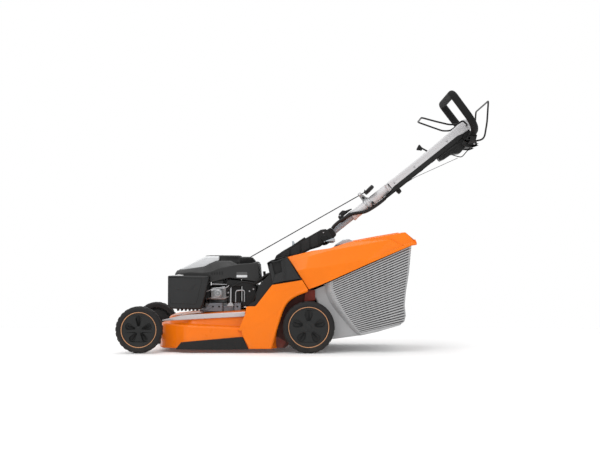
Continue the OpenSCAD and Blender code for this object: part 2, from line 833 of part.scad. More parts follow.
module discharge_flap() {
    color("dimgray") translate([flap_hinge[0], 0, flap_hinge[1]]) rotate([0, -flap_slope, 0]) {
        translate([0, -flap_half, -1.5]) cube([flap_l, 2 * flap_half, 3]);
        rotate([90, 0, 0]) translate([0, 0, -flap_half - 6]) cylinder(r = 5, h = 2 * flap_half + 12);
    }
}

// ---- Which node to draw ----

deck();
discharge_chute();
deck_trim_strips();
side_covers();
side_bumpers();
hinge_brackets();
handle_console();
engine_block();
engine_shroud();
engine_top_cover();
recoil_housing();
muffler_guard();
muffler();
carburettor();
air_filter_box();
fuel_tank();
fuel_cap();
engine_bolts();
spark_plug();
drive_belt();
starter_rope();
control_cables();
crankshaft();
flywheel();
blade();
blade_bolt();
crank_pulley();
front_axle_carrier();
rear_axle_carrier();
tyre(front_x, front_z, front_wheel_d, -1);  // tyre_front_left
tyre(front_x, front_z, front_wheel_d, 1);  // tyre_front_right
tyre(rear_x, rear_z, rear_wheel_d, -1);  // tyre_rear_left
tyre(rear_x, rear_z, rear_wheel_d, 1);  // tyre_rear_right
front_rim(-1);  // rim_front_left
front_rim(1);  // rim_front_right
rear_rim(-1);  // rim_rear_left
rear_rim(1);  // rim_rear_right
gearbox();
gearbox_pulley();
rear_drive_shaft();
height_lever();
tube_socket();
lower_tube();
mid_tube();
upper_bar();
cable_channel();
cable_sleeve();
grip_loop();
bail_bracket();
rope_guide();
pivot_bolt();
clamp_lever();
stop_bail();
drive_bail();
speed_lever();
starter_grip();
grass_box_body();
grass_box_lid();
level_flap();
discharge_flap();
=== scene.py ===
"""A walk-behind rotary lawn mower with a rear grass box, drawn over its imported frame."""
import json
from math import asin, copysign, cos, pi, radians, sin, sqrt, tan, tau

import bmesh
import bpy
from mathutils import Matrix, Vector
from mathutils.geometry import tessellate_polygon


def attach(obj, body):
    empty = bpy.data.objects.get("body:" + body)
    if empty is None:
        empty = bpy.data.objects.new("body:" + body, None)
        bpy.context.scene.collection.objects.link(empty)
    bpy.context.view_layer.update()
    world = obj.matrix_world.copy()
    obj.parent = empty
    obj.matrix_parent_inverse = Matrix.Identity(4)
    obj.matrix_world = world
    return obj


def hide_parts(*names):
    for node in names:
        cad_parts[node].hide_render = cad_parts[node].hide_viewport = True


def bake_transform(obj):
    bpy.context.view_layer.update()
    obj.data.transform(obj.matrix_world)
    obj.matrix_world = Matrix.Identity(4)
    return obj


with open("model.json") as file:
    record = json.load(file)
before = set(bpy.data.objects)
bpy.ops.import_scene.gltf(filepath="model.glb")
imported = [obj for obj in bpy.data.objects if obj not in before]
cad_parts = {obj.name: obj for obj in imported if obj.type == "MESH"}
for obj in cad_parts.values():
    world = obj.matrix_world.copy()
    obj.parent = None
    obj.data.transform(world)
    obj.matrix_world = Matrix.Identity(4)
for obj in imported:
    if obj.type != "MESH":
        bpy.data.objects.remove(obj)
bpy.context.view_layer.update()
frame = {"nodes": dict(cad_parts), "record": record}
joints = {joint["name"]: joint for joint in frame["record"]["behaviour"]["joints"]}

MM = 0.001
UP, ACROSS = (0, 0, 1), (0, 1, 0)
SIDES = ((-1, "left"), (1, "right"))

# Bodies and looks that come back often. Pieces are BLACK and ride on ROOT unless they say otherwise.
ROOT, HANDLE, BOX = "mower_body", "handle", "grass_box"
BLACK, DARK_GREY, GREY, CLEAR = "black_plastic", "dark_grey_plastic", "grey_plastic", "clear_grey"
# The deck's dark red is a darkened copy of its orange paint: painted shade.
ORANGE, SHADED_DECK, SHROUD, SILVER = "orange_plastic", "shaded_deck_paint", "shroud_plastic", "silver_bar"
STEEL, WIRE, ALLOY = "bare_steel", "black_steel", "cast_alloy"


def joint_at(name):
    """A joint's place in millimetres."""
    return Vector(joints[name]["pos_m"]) / MM


PIVOT = joint_at("handle_fold")
HANDLE_ANGLE = radians(38.5)
CRANK = joint_at("crankshaft_spin")
CRANK_FOOT = (CRANK.x, 0, 0)
TYRE_Y = 219

# Half widths.
SKIRT_HALF, COVER_Y = 240, 250
LID_HALF, BOX_HALF, NARROW_HALF = 238, 228, 203
FLAP_HALF, RECESS_HALF = 165, 176
TOP_HALF = LID_HALF - 42


# ---- Materials ----

WHITE, NONE, DUST = (1, 1, 1, 1), (0, 0, 0, 1), (0.22, 0.18, 0.13, 1)


def link_object(made):
    bpy.context.scene.collection.objects.link(made)


def tinted(colour, factor):
    return [min(1, c * factor) for c in colour] + [1]


def add_node(tree, kind, **values):
    """A shader node with these input values; an underscore stands for a space in an input's name."""
    made = tree.nodes.new("ShaderNode" + kind)
    for socket, value in values.items():
        made.inputs[socket.replace("_", " ")].default_value = value
    return made


def surface(name, colour, roughness=0.5, metallic=0.0, vary=0.12, patches=9, grain=900, bump=0.12,
        stretch=(1, 1, 1), coat=0.0, dust=0.0, dust_top=0.1, specks=0.0, shine=0.2, glow=0.0, slot=None):
    """Mottled colour and roughness, a fine grain, and dust that thickens towards the ground."""
    made = bpy.data.materials.new(name)
    made.use_nodes = True
    made["slot"] = slot or name
    tree = made.node_tree
    link = tree.links.new
    shader = tree.nodes["Principled BSDF"]
    for socket, value in (("Metallic", metallic), ("Coat Weight", coat), ("Coat Roughness", 0.12),
            ("Specular IOR Level", shine), ("Emission Color", WHITE), ("Emission Strength", glow)):
        shader.inputs[socket].default_value = value
    place = add_node(tree, "TexCoord").outputs["Object"]
    mapping = add_node(tree, "Mapping", Scale=stretch)
    link(place, mapping.inputs["Vector"])

    def noise(scale, detail=4.0):
        node = add_node(tree, "TexNoise", Scale=scale, Detail=detail)
        link(mapping.outputs["Vector"], node.inputs["Vector"])
        return node.outputs["Fac"]

    def ramp(fac, stops):
        node = add_node(tree, "ValToRGB")
        elements = node.color_ramp.elements
        elements[0].position, elements[0].color = stops[0]
        elements[1].position, elements[1].color = stops[-1]
        for position, value in stops[1:-1]:
            elements.new(position).color = value
        link(fac, node.inputs["Fac"])
        return node.outputs["Color"]

    def mixed(fac, under, over):
        node = add_node(tree, "Mix")
        node.data_type = "RGBA"
        link(fac, node.inputs["Factor"])
        link(under, node.inputs["A"])
        node.inputs["B"].default_value = over
        return node.outputs["Result"]

    tones = [(0.3, tinted(colour, 1 - vary)), (0.5, tinted(colour, 1)), (0.75, tinted(colour, 1 + vary))]
    look = ramp(noise(patches), tones)
    if specks:
        spots = ramp(noise(grain * 0.5, 2.0), [(0.60, NONE), (0.66, [specks] * 3 + [1])])
        look = mixed(spots, look, tinted(colour, 2.2))
    if dust:
        split = add_node(tree, "SeparateXYZ")
        link(place, split.inputs["Vector"])
        height = add_node(tree, "MapRange", From_Min=dust_top, From_Max=0.0)
        link(split.outputs["Z"], height.inputs["Value"])
        patchy = add_node(tree, "Math")
        patchy.operation = "MULTIPLY"
        link(height.outputs["Result"], patchy.inputs[0])
        link(ramp(noise(38, 6.0), [(0.35, NONE), (0.7, [dust] * 3 + [1])]), patchy.inputs[1])
        look = mixed(patchy.outputs["Value"], look, DUST)
    link(look, shader.inputs["Base Color"])
    rough = add_node(tree, "MapRange", To_Min=max(0.04, roughness - 0.09),
        To_Max=min(1.0, roughness + 0.09))
    link(noise(patches * 4, 5.0), rough.inputs["Value"])
    link(rough.outputs["Result"], shader.inputs["Roughness"])
    relief = add_node(tree, "Bump", Strength=bump, Distance=0.0006)
    link(noise(grain, 3.0), relief.inputs["Height"])
    link(relief.outputs["Normal"], shader.inputs["Normal"])
    return made


LOOKS = {
    "orange_plastic": dict(colour=(0.84, 0.178, 0.002), roughness=0.36, vary=0.035, grain=1400, bump=0.08,
        coat=0.04, dust=0.06, dust_top=0.12),
    "orange_paint": dict(colour=(0.82, 0.165, 0.002), roughness=0.30, vary=0.05, grain=500, bump=0.08,
        coat=0.12, dust=0.12, dust_top=0.09),
    # A darkened copy of the orange deck paint, with dust low down: painted shade on the tunnel, engine seat,
    # front ears and gussets.
    "shaded_deck_paint": dict(colour=(0.15, 0.014, 0.006), roughness=0.40, vary=0.10, grain=500, bump=0.10, coat=0.1,
        dust=0.3, dust_top=0.2, slot="orange_paint"),
    # A still darker copy of the orange deck paint, with dust low down: painted deep shade behind the rear
    # wheels.
    "deep_shade_deck_paint": dict(colour=(0.05, 0.007, 0.004), vary=0.15, grain=500, dust=0.2, dust_top=0.2,
        slot="orange_paint"),
    "shroud_label": dict(colour=(0.10, 0.10, 0.10), roughness=0.35, vary=0.05, bump=0.05,
        slot="grey_plastic"),
    "sump_alloy": dict(colour=(0.27, 0.31, 0.35), roughness=0.55, metallic=0.3, vary=0.1, patches=22,
        grain=600, bump=0.4, slot="cast_alloy"),
    # Pale pinkish grey for the shoulder strips: a painted reflection of the light along the deck's rounded
    # shoulder.
    "silver_trim": dict(colour=(0.52, 0.48, 0.48), roughness=0.34, metallic=0.3, vary=0.08,
        stretch=(0.12, 1, 1), bump=0.1),
    "black_plastic": dict(colour=(0.008, 0.008, 0.008), vary=0.22, grain=1500, bump=0.25, shine=0.3),
    "dark_grey_plastic": dict(colour=(0.018, 0.0185, 0.019), roughness=0.52, vary=0.18, grain=1500,
        bump=0.25, shine=0.3),
    "shroud_plastic": dict(colour=(0.020, 0.020, 0.020), roughness=0.48, vary=0.15, grain=1300, bump=0.25,
        shine=0.35, slot="black_plastic"),
    "rim_plastic": dict(colour=(0.010, 0.0105, 0.0105), roughness=0.38, vary=0.2, grain=1200, bump=0.15,
        dust=0.1, dust_top=0.05, shine=0.3, slot="dark_grey_plastic"),
    "ring_orange": dict(colour=(0.60, 0.30, 0.15), roughness=0.4, vary=0.08, bump=0.1,
        slot="orange_plastic"),
    "grey_plastic": dict(colour=(0.40, 0.40, 0.405), roughness=0.48, vary=0.05, grain=1300, dust=0.12,
        dust_top=0.16),
    # A much darker copy of the grey plastic for the screens' grooves: painted shade between the ribs.
    "groove_painted_shade": dict(colour=(0.085, 0.085, 0.088), roughness=0.6, vary=0.1, grain=1300,
        slot="grey_plastic"),
    "box_shade": dict(colour=(0.03, 0.03, 0.032), roughness=0.7, vary=0.15, bump=0.2, slot="grey_plastic"),
    "pale_plastic": dict(colour=(0.66, 0.67, 0.68), roughness=0.3, vary=0.03, grain=1300, bump=0.06,
        coat=0.1),
    "clear_grey": dict(colour=(0.42, 0.48, 0.52), roughness=0.22, vary=0.05, grain=1200, bump=0.06,
        coat=0.2, slot="pale_plastic"),
    "black_steel": dict(colour=(0.006, 0.006, 0.006), roughness=0.36, vary=0.2, grain=700, bump=0.1,
        coat=0.1),
    "bare_steel": dict(colour=(0.40, 0.40, 0.41), roughness=0.34, metallic=0.9, patches=26,
        stretch=(1, 0.2, 1), grain=1100, bump=0.15, specks=0.15),
    "blade_steel": dict(colour=(0.22, 0.22, 0.23), roughness=0.42, metallic=0.95, vary=0.2, patches=20,
        stretch=(0.15, 1, 1), bump=0.25, specks=0.2),
    "cast_alloy": dict(colour=(0.27, 0.275, 0.28), metallic=0.5, vary=0.16, patches=30, grain=520, bump=0.6,
        specks=0.2),
    "silver_bar": dict(colour=(0.56, 0.555, 0.565), roughness=0.42, metallic=0.1, vary=0.04, patches=14,
        stretch=(0.3, 1, 0.3), grain=700, bump=0.04),
    "ribbed_tube": dict(colour=(0.38, 0.43, 0.47), roughness=0.4, metallic=0.1, vary=0.1, bump=0.1,
        slot="silver_bar"),
    "tyre_rubber": dict(colour=(0.009, 0.008, 0.008), roughness=0.6, vary=0.25, grain=700, bump=0.4,
        dust=0.10, shine=0.3),
    "soft_grip": dict(colour=(0.010, 0.010, 0.010), roughness=0.75, vary=0.2, grain=1900, bump=0.6),
    "belt_rubber": dict(colour=(0.015, 0.015, 0.015), roughness=0.75, vary=0.2, grain=800, bump=0.5),
    "rope_cord": dict(colour=(0.02, 0.02, 0.02), roughness=0.8, vary=0.35, patches=400, grain=2600,
        bump=0.6),
    "ceramic_white": dict(colour=(0.80, 0.78, 0.72), roughness=0.2, vary=0.04, bump=0.05, coat=0.4)}
M = {name: surface(name, **look) for name, look in LOOKS.items()}


# ---- Mesh helpers, all in millimetres ----

def build(name, verts, faces, look=BLACK, body=ROOT, bevel=0.0, segments=3, mirror=False, thickness=0.0,
        node=None, sharp=32):
    """A mesh piece that rides on a body, or, given a crossing, stays fixed where it is built on no body;
    bevel, mirror and thickness are modifiers.
    """
    mesh = bpy.data.meshes.new(name)
    mesh.from_pydata([[c * MM for c in v] for v in verts], [], faces)
    work = bmesh.new()
    work.from_mesh(mesh)
    bmesh.ops.remove_doubles(work, verts=work.verts, dist=0.01 * MM)
    bmesh.ops.recalc_face_normals(work, faces=work.faces)
    work.to_mesh(mesh)
    work.free()
    mesh.shade_smooth()
    mesh.set_sharp_from_angle(angle=radians(sharp))
    mesh.materials.append(M[look])
    made = bpy.data.objects.new(name, mesh)
    link_object(made)
    if mirror:
        made.modifiers.new("mirror", "MIRROR").use_axis = (False, True, False)
    if thickness:
        shell = made.modifiers.new("shell", "SOLIDIFY")
        shell.thickness = thickness * MM
        shell.offset = -1
    if bevel:
        round_off = made.modifiers.new("bevel", "BEVEL")
        round_off.width = bevel * MM
        round_off.segments = segments
        round_off.limit_method = "ANGLE"
        round_off.angle_limit = radians(sharp)
        round_off.use_clamp_overlap = False
        round_off.harden_normals = True
    if isinstance(body, tuple):
        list(body)
        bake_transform(made)
    else:
        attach(made, body)
    if node:
        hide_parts(node)
    return made


def crossing(a, b, start, end):
    """Two bodies that one joint joins, and where a piece on both starts and ends."""
    return a, b, Vector(start) * MM, Vector(end) * MM


def fillet(points, steps=5):
    """A closed outline of (x, z, radius) corners, each corner rounded."""
    out = []
    for i, (x, z, radius) in enumerate(points):
        corner = Vector((x, z))
        back = Vector(points[i - 1][:2]) - corner
        on = Vector(points[(i + 1) % len(points)][:2]) - corner
        half = back.angle(on) / 2
        reach = min(radius / tan(half), back.length * 0.48, on.length * 0.48)
        if reach < 0.2:
            out.append(tuple(corner))
            continue
        start, end = corner + back.normalized() * reach, corner + on.normalized() * reach
        for k in range(steps + 1):
            t = k / steps
            out.append(tuple(start * (1 - t) ** 2 + corner * 2 * t * (1 - t) + end * t * t))
    return out


def rounded(points, radius, steps=5):
    """A closed outline of (x, z) corners, all rounded alike."""
    return fillet([(x, z, radius) for x, z in points], steps)


def mirrored(points):
    """A path on the left, then its mirror image on the right in reverse order."""
    return points + [(x, -y, last) for x, y, last in reversed(points)]


def plate(name, outline, y0, y1, look=BLACK, body=ROOT, holes=(), **more):
    """A flat piece with this outline in the XZ plane, from y0 to y1."""
    loops = [outline, *holes]
    flat = [point for loop in loops for point in loop]
    n = len(flat)
    if holes:
        caps = [tuple(t) for t in tessellate_polygon([[Vector((x, z, 0)) for x, z in loop] for loop in
            loops])]
    else:
        caps = [tuple(range(n))]
    verts = [(x, y0, z) for x, z in flat] + [(x, y1, z) for x, z in flat]
    faces = caps + [tuple(n + i for i in reversed(cap)) for cap in caps]
    start = 0
    for loop in loops:
        m = len(loop)
        faces += [(start + i, start + (i + 1) % m, n + start + (i + 1) % m, n + start + i) for i in
            range(m)]
        start += m
    return build(name, verts, faces, look, body, **more)


def plates(rows, look=BLACK, body=ROOT, **more):
    """Plates from rows of (name, corners, corner radius, y0, y1, bevel)."""
    for name, corners, radius, y0, y1, bevel in rows:
        plate(name, rounded(corners, radius), y0, y1, look, body, bevel=bevel, **more)


def loft(name, rings, look=BLACK, body=ROOT, closed=True, caps=True, **more):
    """A skin over rings of points; closed joins each ring's ends, caps fills the first and last."""
    n = len(rings[0])
    span = n if closed else n - 1
    faces = [(r * n + i, r * n + (i + 1) % n, (r + 1) * n + (i + 1) % n, (r + 1) * n + i) for r in
        range(len(rings) - 1) for i in range(span)]
    if caps:
        faces += [tuple(range(n)), tuple(range((len(rings) - 1) * n, len(rings) * n))]
    return build(name, [p for ring in rings for p in ring], faces, look, body, **more)


def lathe(name, profile, centre, axis, look=BLACK, body=ROOT, steps=64, **more):
    """A turned piece: profile is (radius, distance along the axis). One that starts away from the axis
    is a ring, without end caps."""
    turn = Vector((0, 0, 1)).rotation_difference(Vector(axis)).to_matrix()
    rings = [[Vector(centre) + turn @ Vector((r * cos(a), r * sin(a), h)) for a in
        (tau * k / steps for k in range(steps))] for r, h in profile]
    return loft(name, rings, look, body, caps=profile[0][0] < 1, **more)


def bent(points, reach, steps=6):
    """A path with its inner corners rounded, starting each bend at reach from the corner."""
    points = [Vector(p) for p in points]
    out = [points[0]]
    for before, corner, after in zip(points, points[1:], points[2:]):
        back, on = before - corner, after - corner
        start = corner + back.normalized() * min(reach, back.length * 0.49)
        end = corner + on.normalized() * min(reach, on.length * 0.49)
        for k in range(steps + 1):
            t = k / steps
            out.append(start * (1 - t) ** 2 + corner * 2 * t * (1 - t) + end * t * t)
    return out + [points[-1]]


def circle(radius, sides=14, x=0.0, z=0.0):
    """A ring of points about (x, z)."""
    return [(x + radius * cos(tau * k / sides), z + radius * sin(tau * k / sides)) for k in range(sides)]


def pin(name, centre, radius, half, look, body, **more):
    """A round bar across the machine, from -half to half."""
    lathe(name, [(0.3, -half), (radius, -half), (radius, half), (0.3, half)], centre, ACROSS, look, body,
        **more)


def sweep(name, path, profile, look=BLACK, body=ROOT, scale=None, up=(0, 1, 0), **more):
    """A profile carried along a path, square to it; scale is a function of the way along."""
    rings = []
    side = Vector(up)
    for i, point in enumerate(path):
        ahead = (path[min(i + 1, len(path) - 1)] - path[max(i - 1, 0)]).normalized()
        side = (side - ahead * side.dot(ahead)).normalized()
        across = ahead.cross(side)
        size = scale(i / (len(path) - 1)) if scale else 1
        rings.append([point + (across * u + side * v) * size for u, v in profile])
    return loft(name, rings, look, body, **more)


def tube(name, points, radius, look=BLACK, body=ROOT, reach=12, sides=14, **more):
    """A round rod through these points, bent at the inner ones."""
    path = bent(points, reach)
    more.setdefault("up", (0.12, 1, 0.31))
    return sweep(name, path, circle(radius, sides), look, body, **more)


def free_cord(made, path):
    """Measures the length of a cord's path, which runs from its first point back into the machine at the
    last; nothing is kept.
    """
    length = sum((b - a).length for a, b in zip(path, path[1:]))
    [tuple(p * MM) for p in path]


def finely(path, step):
    """The same path with a point about every step."""
    fine = []
    for a, b in zip(path, path[1:]):
        count = max(1, int((b - a).length / step))
        fine += [a.lerp(b, k / count) for k in range(count)]
    return fine + [path[-1]]


def from_axis(origin, angle, s, n):
    """(x, z) of a point s along a line that rises at an angle from origin, and n square to it."""
    return (origin.x + s * cos(angle) - n * sin(angle), origin.z + s * sin(angle) + n * cos(angle))


def on_handle(s, n):
    return from_axis(PIVOT, HANDLE_ANGLE, s, n)


def handle_point(s, y, n):
    x, z = on_handle(s, n)
    return (x, y, z)


def handle_outline(points, steps=5):
    return [on_handle(s, n) for s, n in fillet(points, steps)]


def keep(node, look):
    """A CAD node that shows, with a better material."""
    shown = frame["nodes"][node]
    shown.data.materials.clear()
    shown.data.materials.append(M[look])


def screw(name, at, axis, radius, look=BLACK, body=ROOT):
    """A domed screw head with a cross recess rim."""
    return lathe(name, [(0.3, -1), (radius, -1), (radius, radius * 0.35), (radius * 0.8, radius * 0.6),
        (radius * 0.45, radius * 0.62), (radius * 0.42, radius * 0.3), (0.3, radius * 0.3)], at, axis, look,
        body, steps=20)


# ---- Wheels ----

def tyre(corner, centre, radius, side, body):
    """A treaded tyre: two rows of staggered lugs round a rounded carcass."""
    lugs, steps = 26, 8
    high = [0.3, 1, 1, 1, 1, 1, 0.3, 0]
    carcass = [(-24, 5), (-22, 3), (-13, 0.6), (-7, 1.4), (-4, 3.5), (-3, 7)]
    outer = [(-3, 39), (-4, 42.5), (-7, 44.6), (-12, 45.6), (-17, 45.6), (-19, 44), (-21, 44), (-24, 42)]
    rings = []
    for k in range(lugs * steps):
        angle = tau * k / (lugs * steps)
        tread = [(-2 + 2 * high[(k + shift) % steps], w) for w, shift in ((9, 0), (21, 0), (25, 4),
            (37, 4))]
        rings.append([(centre.x + (radius + dr) * cos(angle), side * (TYRE_Y + w), centre.z + (radius + dr)
            * sin(angle)) for dr, w in carcass + tread + outer])
    loft(f"tyre_{corner}", rings + rings[:1], "tyre_rubber", body, caps=False, sharp=24,
        node=f"tyre_{corner}")


def pocket(inner, outer, inner_half, outer_half, turn):
    """A drop-shaped pocket between two radii, turned about the hub."""
    low, high = inner + inner_half, outer - outer_half
    tilt = asin((outer_half - inner_half) / (high - low))
    drop = []
    for centre, half, start in ((high, outer_half, -pi / 2 - tilt), (low, inner_half, pi / 2 + tilt)):
        span = pi + 2 * tilt if centre == high else pi - 2 * tilt
        for k in range(13):
            a = start + span * k / 12
            drop.append((centre + half * cos(a), half * sin(a)))
    return [(t * cos(turn) - u * sin(turn), t * sin(turn) + u * cos(turn)) for t, u in drop]


def wheel(corner, front, side):
    """Tyre, rim with five pockets and a rib behind each, hub cap and a thin orange ring."""
    centre = joint_at(f"wheel_{corner}_spin")
    body = f"wheel_{corner}"
    radius = 90 if front else 100
    face = radius - 24
    tyre(corner, centre, radius, side, body)
    hub_at = (centre.x, 0, centre.z)
    shape = (14, 53, 4, 11.5) if front else (24, 65, 9, 15.5)
    reach, length = (shape[0] + shape[1]) / 2, (shape[1] - shape[0]) * 0.36
    holes = []
    for k in range(5):
        turn = radians(90 + 72 * k)
        holes.append([(centre.x + u, centre.z + v) for u, v in pocket(*shape, turn)])
        out = Vector((cos(turn), 0, sin(turn)))
        at = Vector((centre.x, side * 246, centre.z)) + out * reach
        tube(f"rim_rib_{corner}_{k}", [at - out * length, at + out * length * 0.9], 2.6, "rim_plastic",
            body)
    plate(f"rim_face_{corner}", circle(face - 1.5, 72, centre.x, centre.z), side * 253, side * 260.5,
        "rim_plastic", body, holes=holes, bevel=1.6, node=f"rim_{corner}")
    bowl = [(8.1, 219), (17, 219), (17, 236), (face - 8, 236), (face - 0.2, 221), (face, 222), (face, 259),
        (face - 3, 259), (face - 8, 248), (30, 243), (8.1, 246)]
    lathe(f"rim_bowl_{corner}", bowl, hub_at, (0, side, 0), "rim_plastic", body)
    cap = [(0.3, 260), (11, 260), (11, 261.6), (9, 262.6), (0.3, 263)]
    lathe(f"rim_cap_{corner}", cap, hub_at, (0, side, 0), "rim_plastic", body, steps=40)
    ring = [(-1.7, 259.5), (-1.3, 262.2), (0, 262.8), (1.3, 262.2), (1.7, 259.5)]
    lathe(f"ring_{corner}", [(face + 1.2 + dr, w) for dr, w in ring], hub_at, (0, side, 0), "ring_orange",
        body, steps=96)


for side, name in SIDES:
    wheel(f"front_{name}", True, side)
    wheel(f"rear_{name}", False, side)


# ---- Deck ----

PLAN = fillet(mirrored([(-575, -120, 60), (-560, -178, 40), (-505, -206, 60), (-462, -SKIRT_HALF, 60),
    (-150, -SKIRT_HALF, 24), (-113, -205, 14)]), 6)


def flat(x):
    """The ground, the lowest level that a ring of the deck is measured from."""
    return 0


def ledge_z(x):
    """Height of the ledge round the deck's foot, which rises to the rear."""
    return 109 - 13 * (x + 501) / 282


def top_z(x):
    """Height of the deck's top, which rises to the rear."""
    return 141 + 27 * (x + 545) / 485


# Inset of each ring from the plan, the level it stands on, and its rise above that.
STEPS_UP = [(-0.5, flat, 16), (-2.5, flat, 18), (-2.5, flat, 23), (0, flat, 27), (0.5, ledge_z, -9),
    (1.5, ledge_z, -4), (5, ledge_z, -0.5), (10, ledge_z, 0), (25, ledge_z, 2), (29, ledge_z, 6),
    (31, top_z, -14), (33, top_z, -5), (39, top_z, 0), (80, top_z, 1)]


def deck_ring(inset, level, rise):
    """The plan drawn in by inset, at a rise above a level that depends on x."""
    middle, half_x = -344, 231
    return [(middle + (x - middle) * (1 - inset / half_x), y * (1 - inset / SKIRT_HALF), level(x) + rise)
        for x, y in PLAN]


rings = [deck_ring(*step) for step in STEPS_UP]
loft("deck_shell", rings, "orange_paint", caps=False, thickness=2.4, sharp=50, node="deck")
build("deck_crown", rings[-1], [tuple(range(len(PLAN)))], "orange_paint", thickness=2.4)
# The engine seat takes the darkened deck paint: painted shade under the engine.
lathe("engine_seat", [(30, 150), (98, 150), (98, 156), (94, 158), (30, 158)], CRANK_FOOT, UP, SHADED_DECK)

# Rear side plates and the tunnel that leads to the box. The tunnel, its flanges and the corner gussets take
# a darkened copy of the deck's orange paint: painted shade.
# The side plates take the darkest copy of the deck paint: painted shade between the wheel arch and the tyre.
plates([("rear_side_plates", [(-112, 17), (-82, 17), (-24, 60), (-22, 98), (-40, 130), (0, 165), (28, 200),
    (22, 236), (-2, 262), (-116, 262), (-130, 240), (-130, 150), (-112, 104)], 8, -205, -202.5, 0.6)],
    "deep_shade_deck_paint", mirror=True)
plates([
    ("red_corner_gussets", [(-128, 17), (-90, 17), (-76, 40), (-106, 60), (-122, 58)], 3, -206.2, -202, 0.6),
    ("tunnel_flange", [(-6, 196), (37, 202), (36, 242), (-3, 242)], 4, -214, -206, 1.5)], SHADED_DECK, mirror=True)
tunnel = [(-112, 32), (-104, 32), (34, 178), (30, 200), (10, 232), (-66, 340), (-72, 340), (-153, 166),
    (-112, 166)]
for name, y in (("left", -190), ("right", 37.5)):
    plate(f"tunnel_wall_{name}", tunnel, y, y + 2.5, SHADED_DECK, bevel=0.6)
plate("tunnel_floor", [(-110, 32), (-104, 32), (34, 178), (32, 181)], -190, 40, SHADED_DECK, bevel=0.4,
    node="discharge_chute")
plate("tunnel_roof", [(-148.5, 166), (-143.5, 166), (-66, 337), (-70, 340)], -190, 40, SHADED_DECK, bevel=0.4)


def front_ears():
    """The plates that carry the front axle."""
    ear = rounded([(-574, 44), (-574, 100), (-588, 90), (-602, 78), (-602, 60), (-588, 46)], 6)
    # The ears take the darkened deck paint: painted shade.
    plate("front_ears", ear, -150, -142, SHADED_DECK, holes=[circle(9.3, 32, -585, 70)], bevel=0.8, mirror=True)


front_ears()


def trim_strips():
    """A satin strip along each shoulder, tapering to a point round the front corner; its pale pinkish grey
    is a painted reflection of the light on the deck's rounded shoulder.
    """
    along = [(-562, -176), (-552, -190), (-536, -200), (-512, -207), (-490, -211), (-460, -213.5),
        (-400, -214.5), (-320, -215), (-236, -215)]
    rings = []
    for x, y in along:
        low = 121 + 18 * (x + 560) / 326
        high = low + 3 + min(16, 0.2 * (x + 562))
        rings.append([(x, y, low), (x, y - 2.5, low + 2), (x, y - 3, (low + high) / 2),
            (x, y - 2.5, high - 2), (x, y, high), (x, y + 4, high), (x, y + 4, low)])
    loft("trim_strip", rings, "silver_trim", mirror=True, node="deck_trim_strips")


trim_strips()


# ---- Side covers and bumpers ----

ARCH = [(-134, 17), (-120, 69), (-98, 140), (-88, 170), (-72, 197), (-52, 215), (-23, 230), (10, 242)]


def side_covers():
    """Each cover is one moulded skin whose front facet leans inwards from the crease."""
    outline = [(-216, 17), (-242, 64), (-253, 104), (-194, 180), (-130, 262), (-14, 281)] + ARCH[::-1]
    flange = [(-253, 104), (-231, 156), (-229, 179), (-194, 180)]
    n = len(outline)
    verts = [(x, -COVER_Y, z) for x, z in outline]
    verts += [(x, -COVER_Y + 9.5, z) for x, z in outline]
    verts += [(flange[1][0], -COVER_Y + 7, flange[1][1]), (flange[2][0], -COVER_Y + 7, flange[2][1])]
    faces = [tuple(range(n))]
    faces += [(i, (i + 1) % n, n + (i + 1) % n, n + i) for i in range(n) if i != 2]
    faces += [(3, 2, 2 * n, 2 * n + 1), (2, n + 2, 2 * n), (3, 2 * n + 1, n + 3)]
    build("side_covers", verts, faces, ORANGE, bevel=2.2, segments=4, mirror=True, sharp=22,
        node="side_covers")
    lip = [Vector((x, -COVER_Y + 7.4, z)) for x, z in ARCH]
    lip = bent([(x - 5, y, z + 1.5) for x, y, z in lip], 14)
    sweep("arch_lips", lip, circle(8.6, 18), ORANGE, mirror=True)
    plates([
        ("cover_panels", [(-236, 96), (-206, 96), (-118, 150), (-60, 218), (-22, 240), (-22, 254),
            (-128, 238), (-186, 162)], 10, -COVER_Y - 0.5, -COVER_Y + 2, 0.5),
        ("cover_steps", [(-262, 84), (-216, 92), (-212, 104), (-250, 106)], 3, -COVER_Y - 0.2, -236, 2)],
        ORANGE, mirror=True)


side_covers()


def bumpers():
    """Ribbed rubbing strips low on each side."""
    edge = fillet([(-501, 15, 3), (-480, 42, 5), (-243, 63, 5), (-220, 15, 3), (-300, 13.5, 60),
        (-420, 13.5, 60)])
    plate("bumpers", edge, -SKIRT_HALF - 6, -SKIRT_HALF - 0.2, bevel=2, mirror=True, node="side_bumpers")
    for k in range(9):
        x = -478 + 28 * k
        rib = [(x, 20, 1), (x + 10, 20, 1), (x + 8, 34 + 2.2 * k, 1), (x + 5, 34 + 2.2 * k, 1)]
        plate(f"bumper_rib_{k}", fillet(rib, 2), -SKIRT_HALF - 6.7, -SKIRT_HALF - 5, bevel=0.3, mirror=True)


bumpers()


# ---- Brackets and console ----

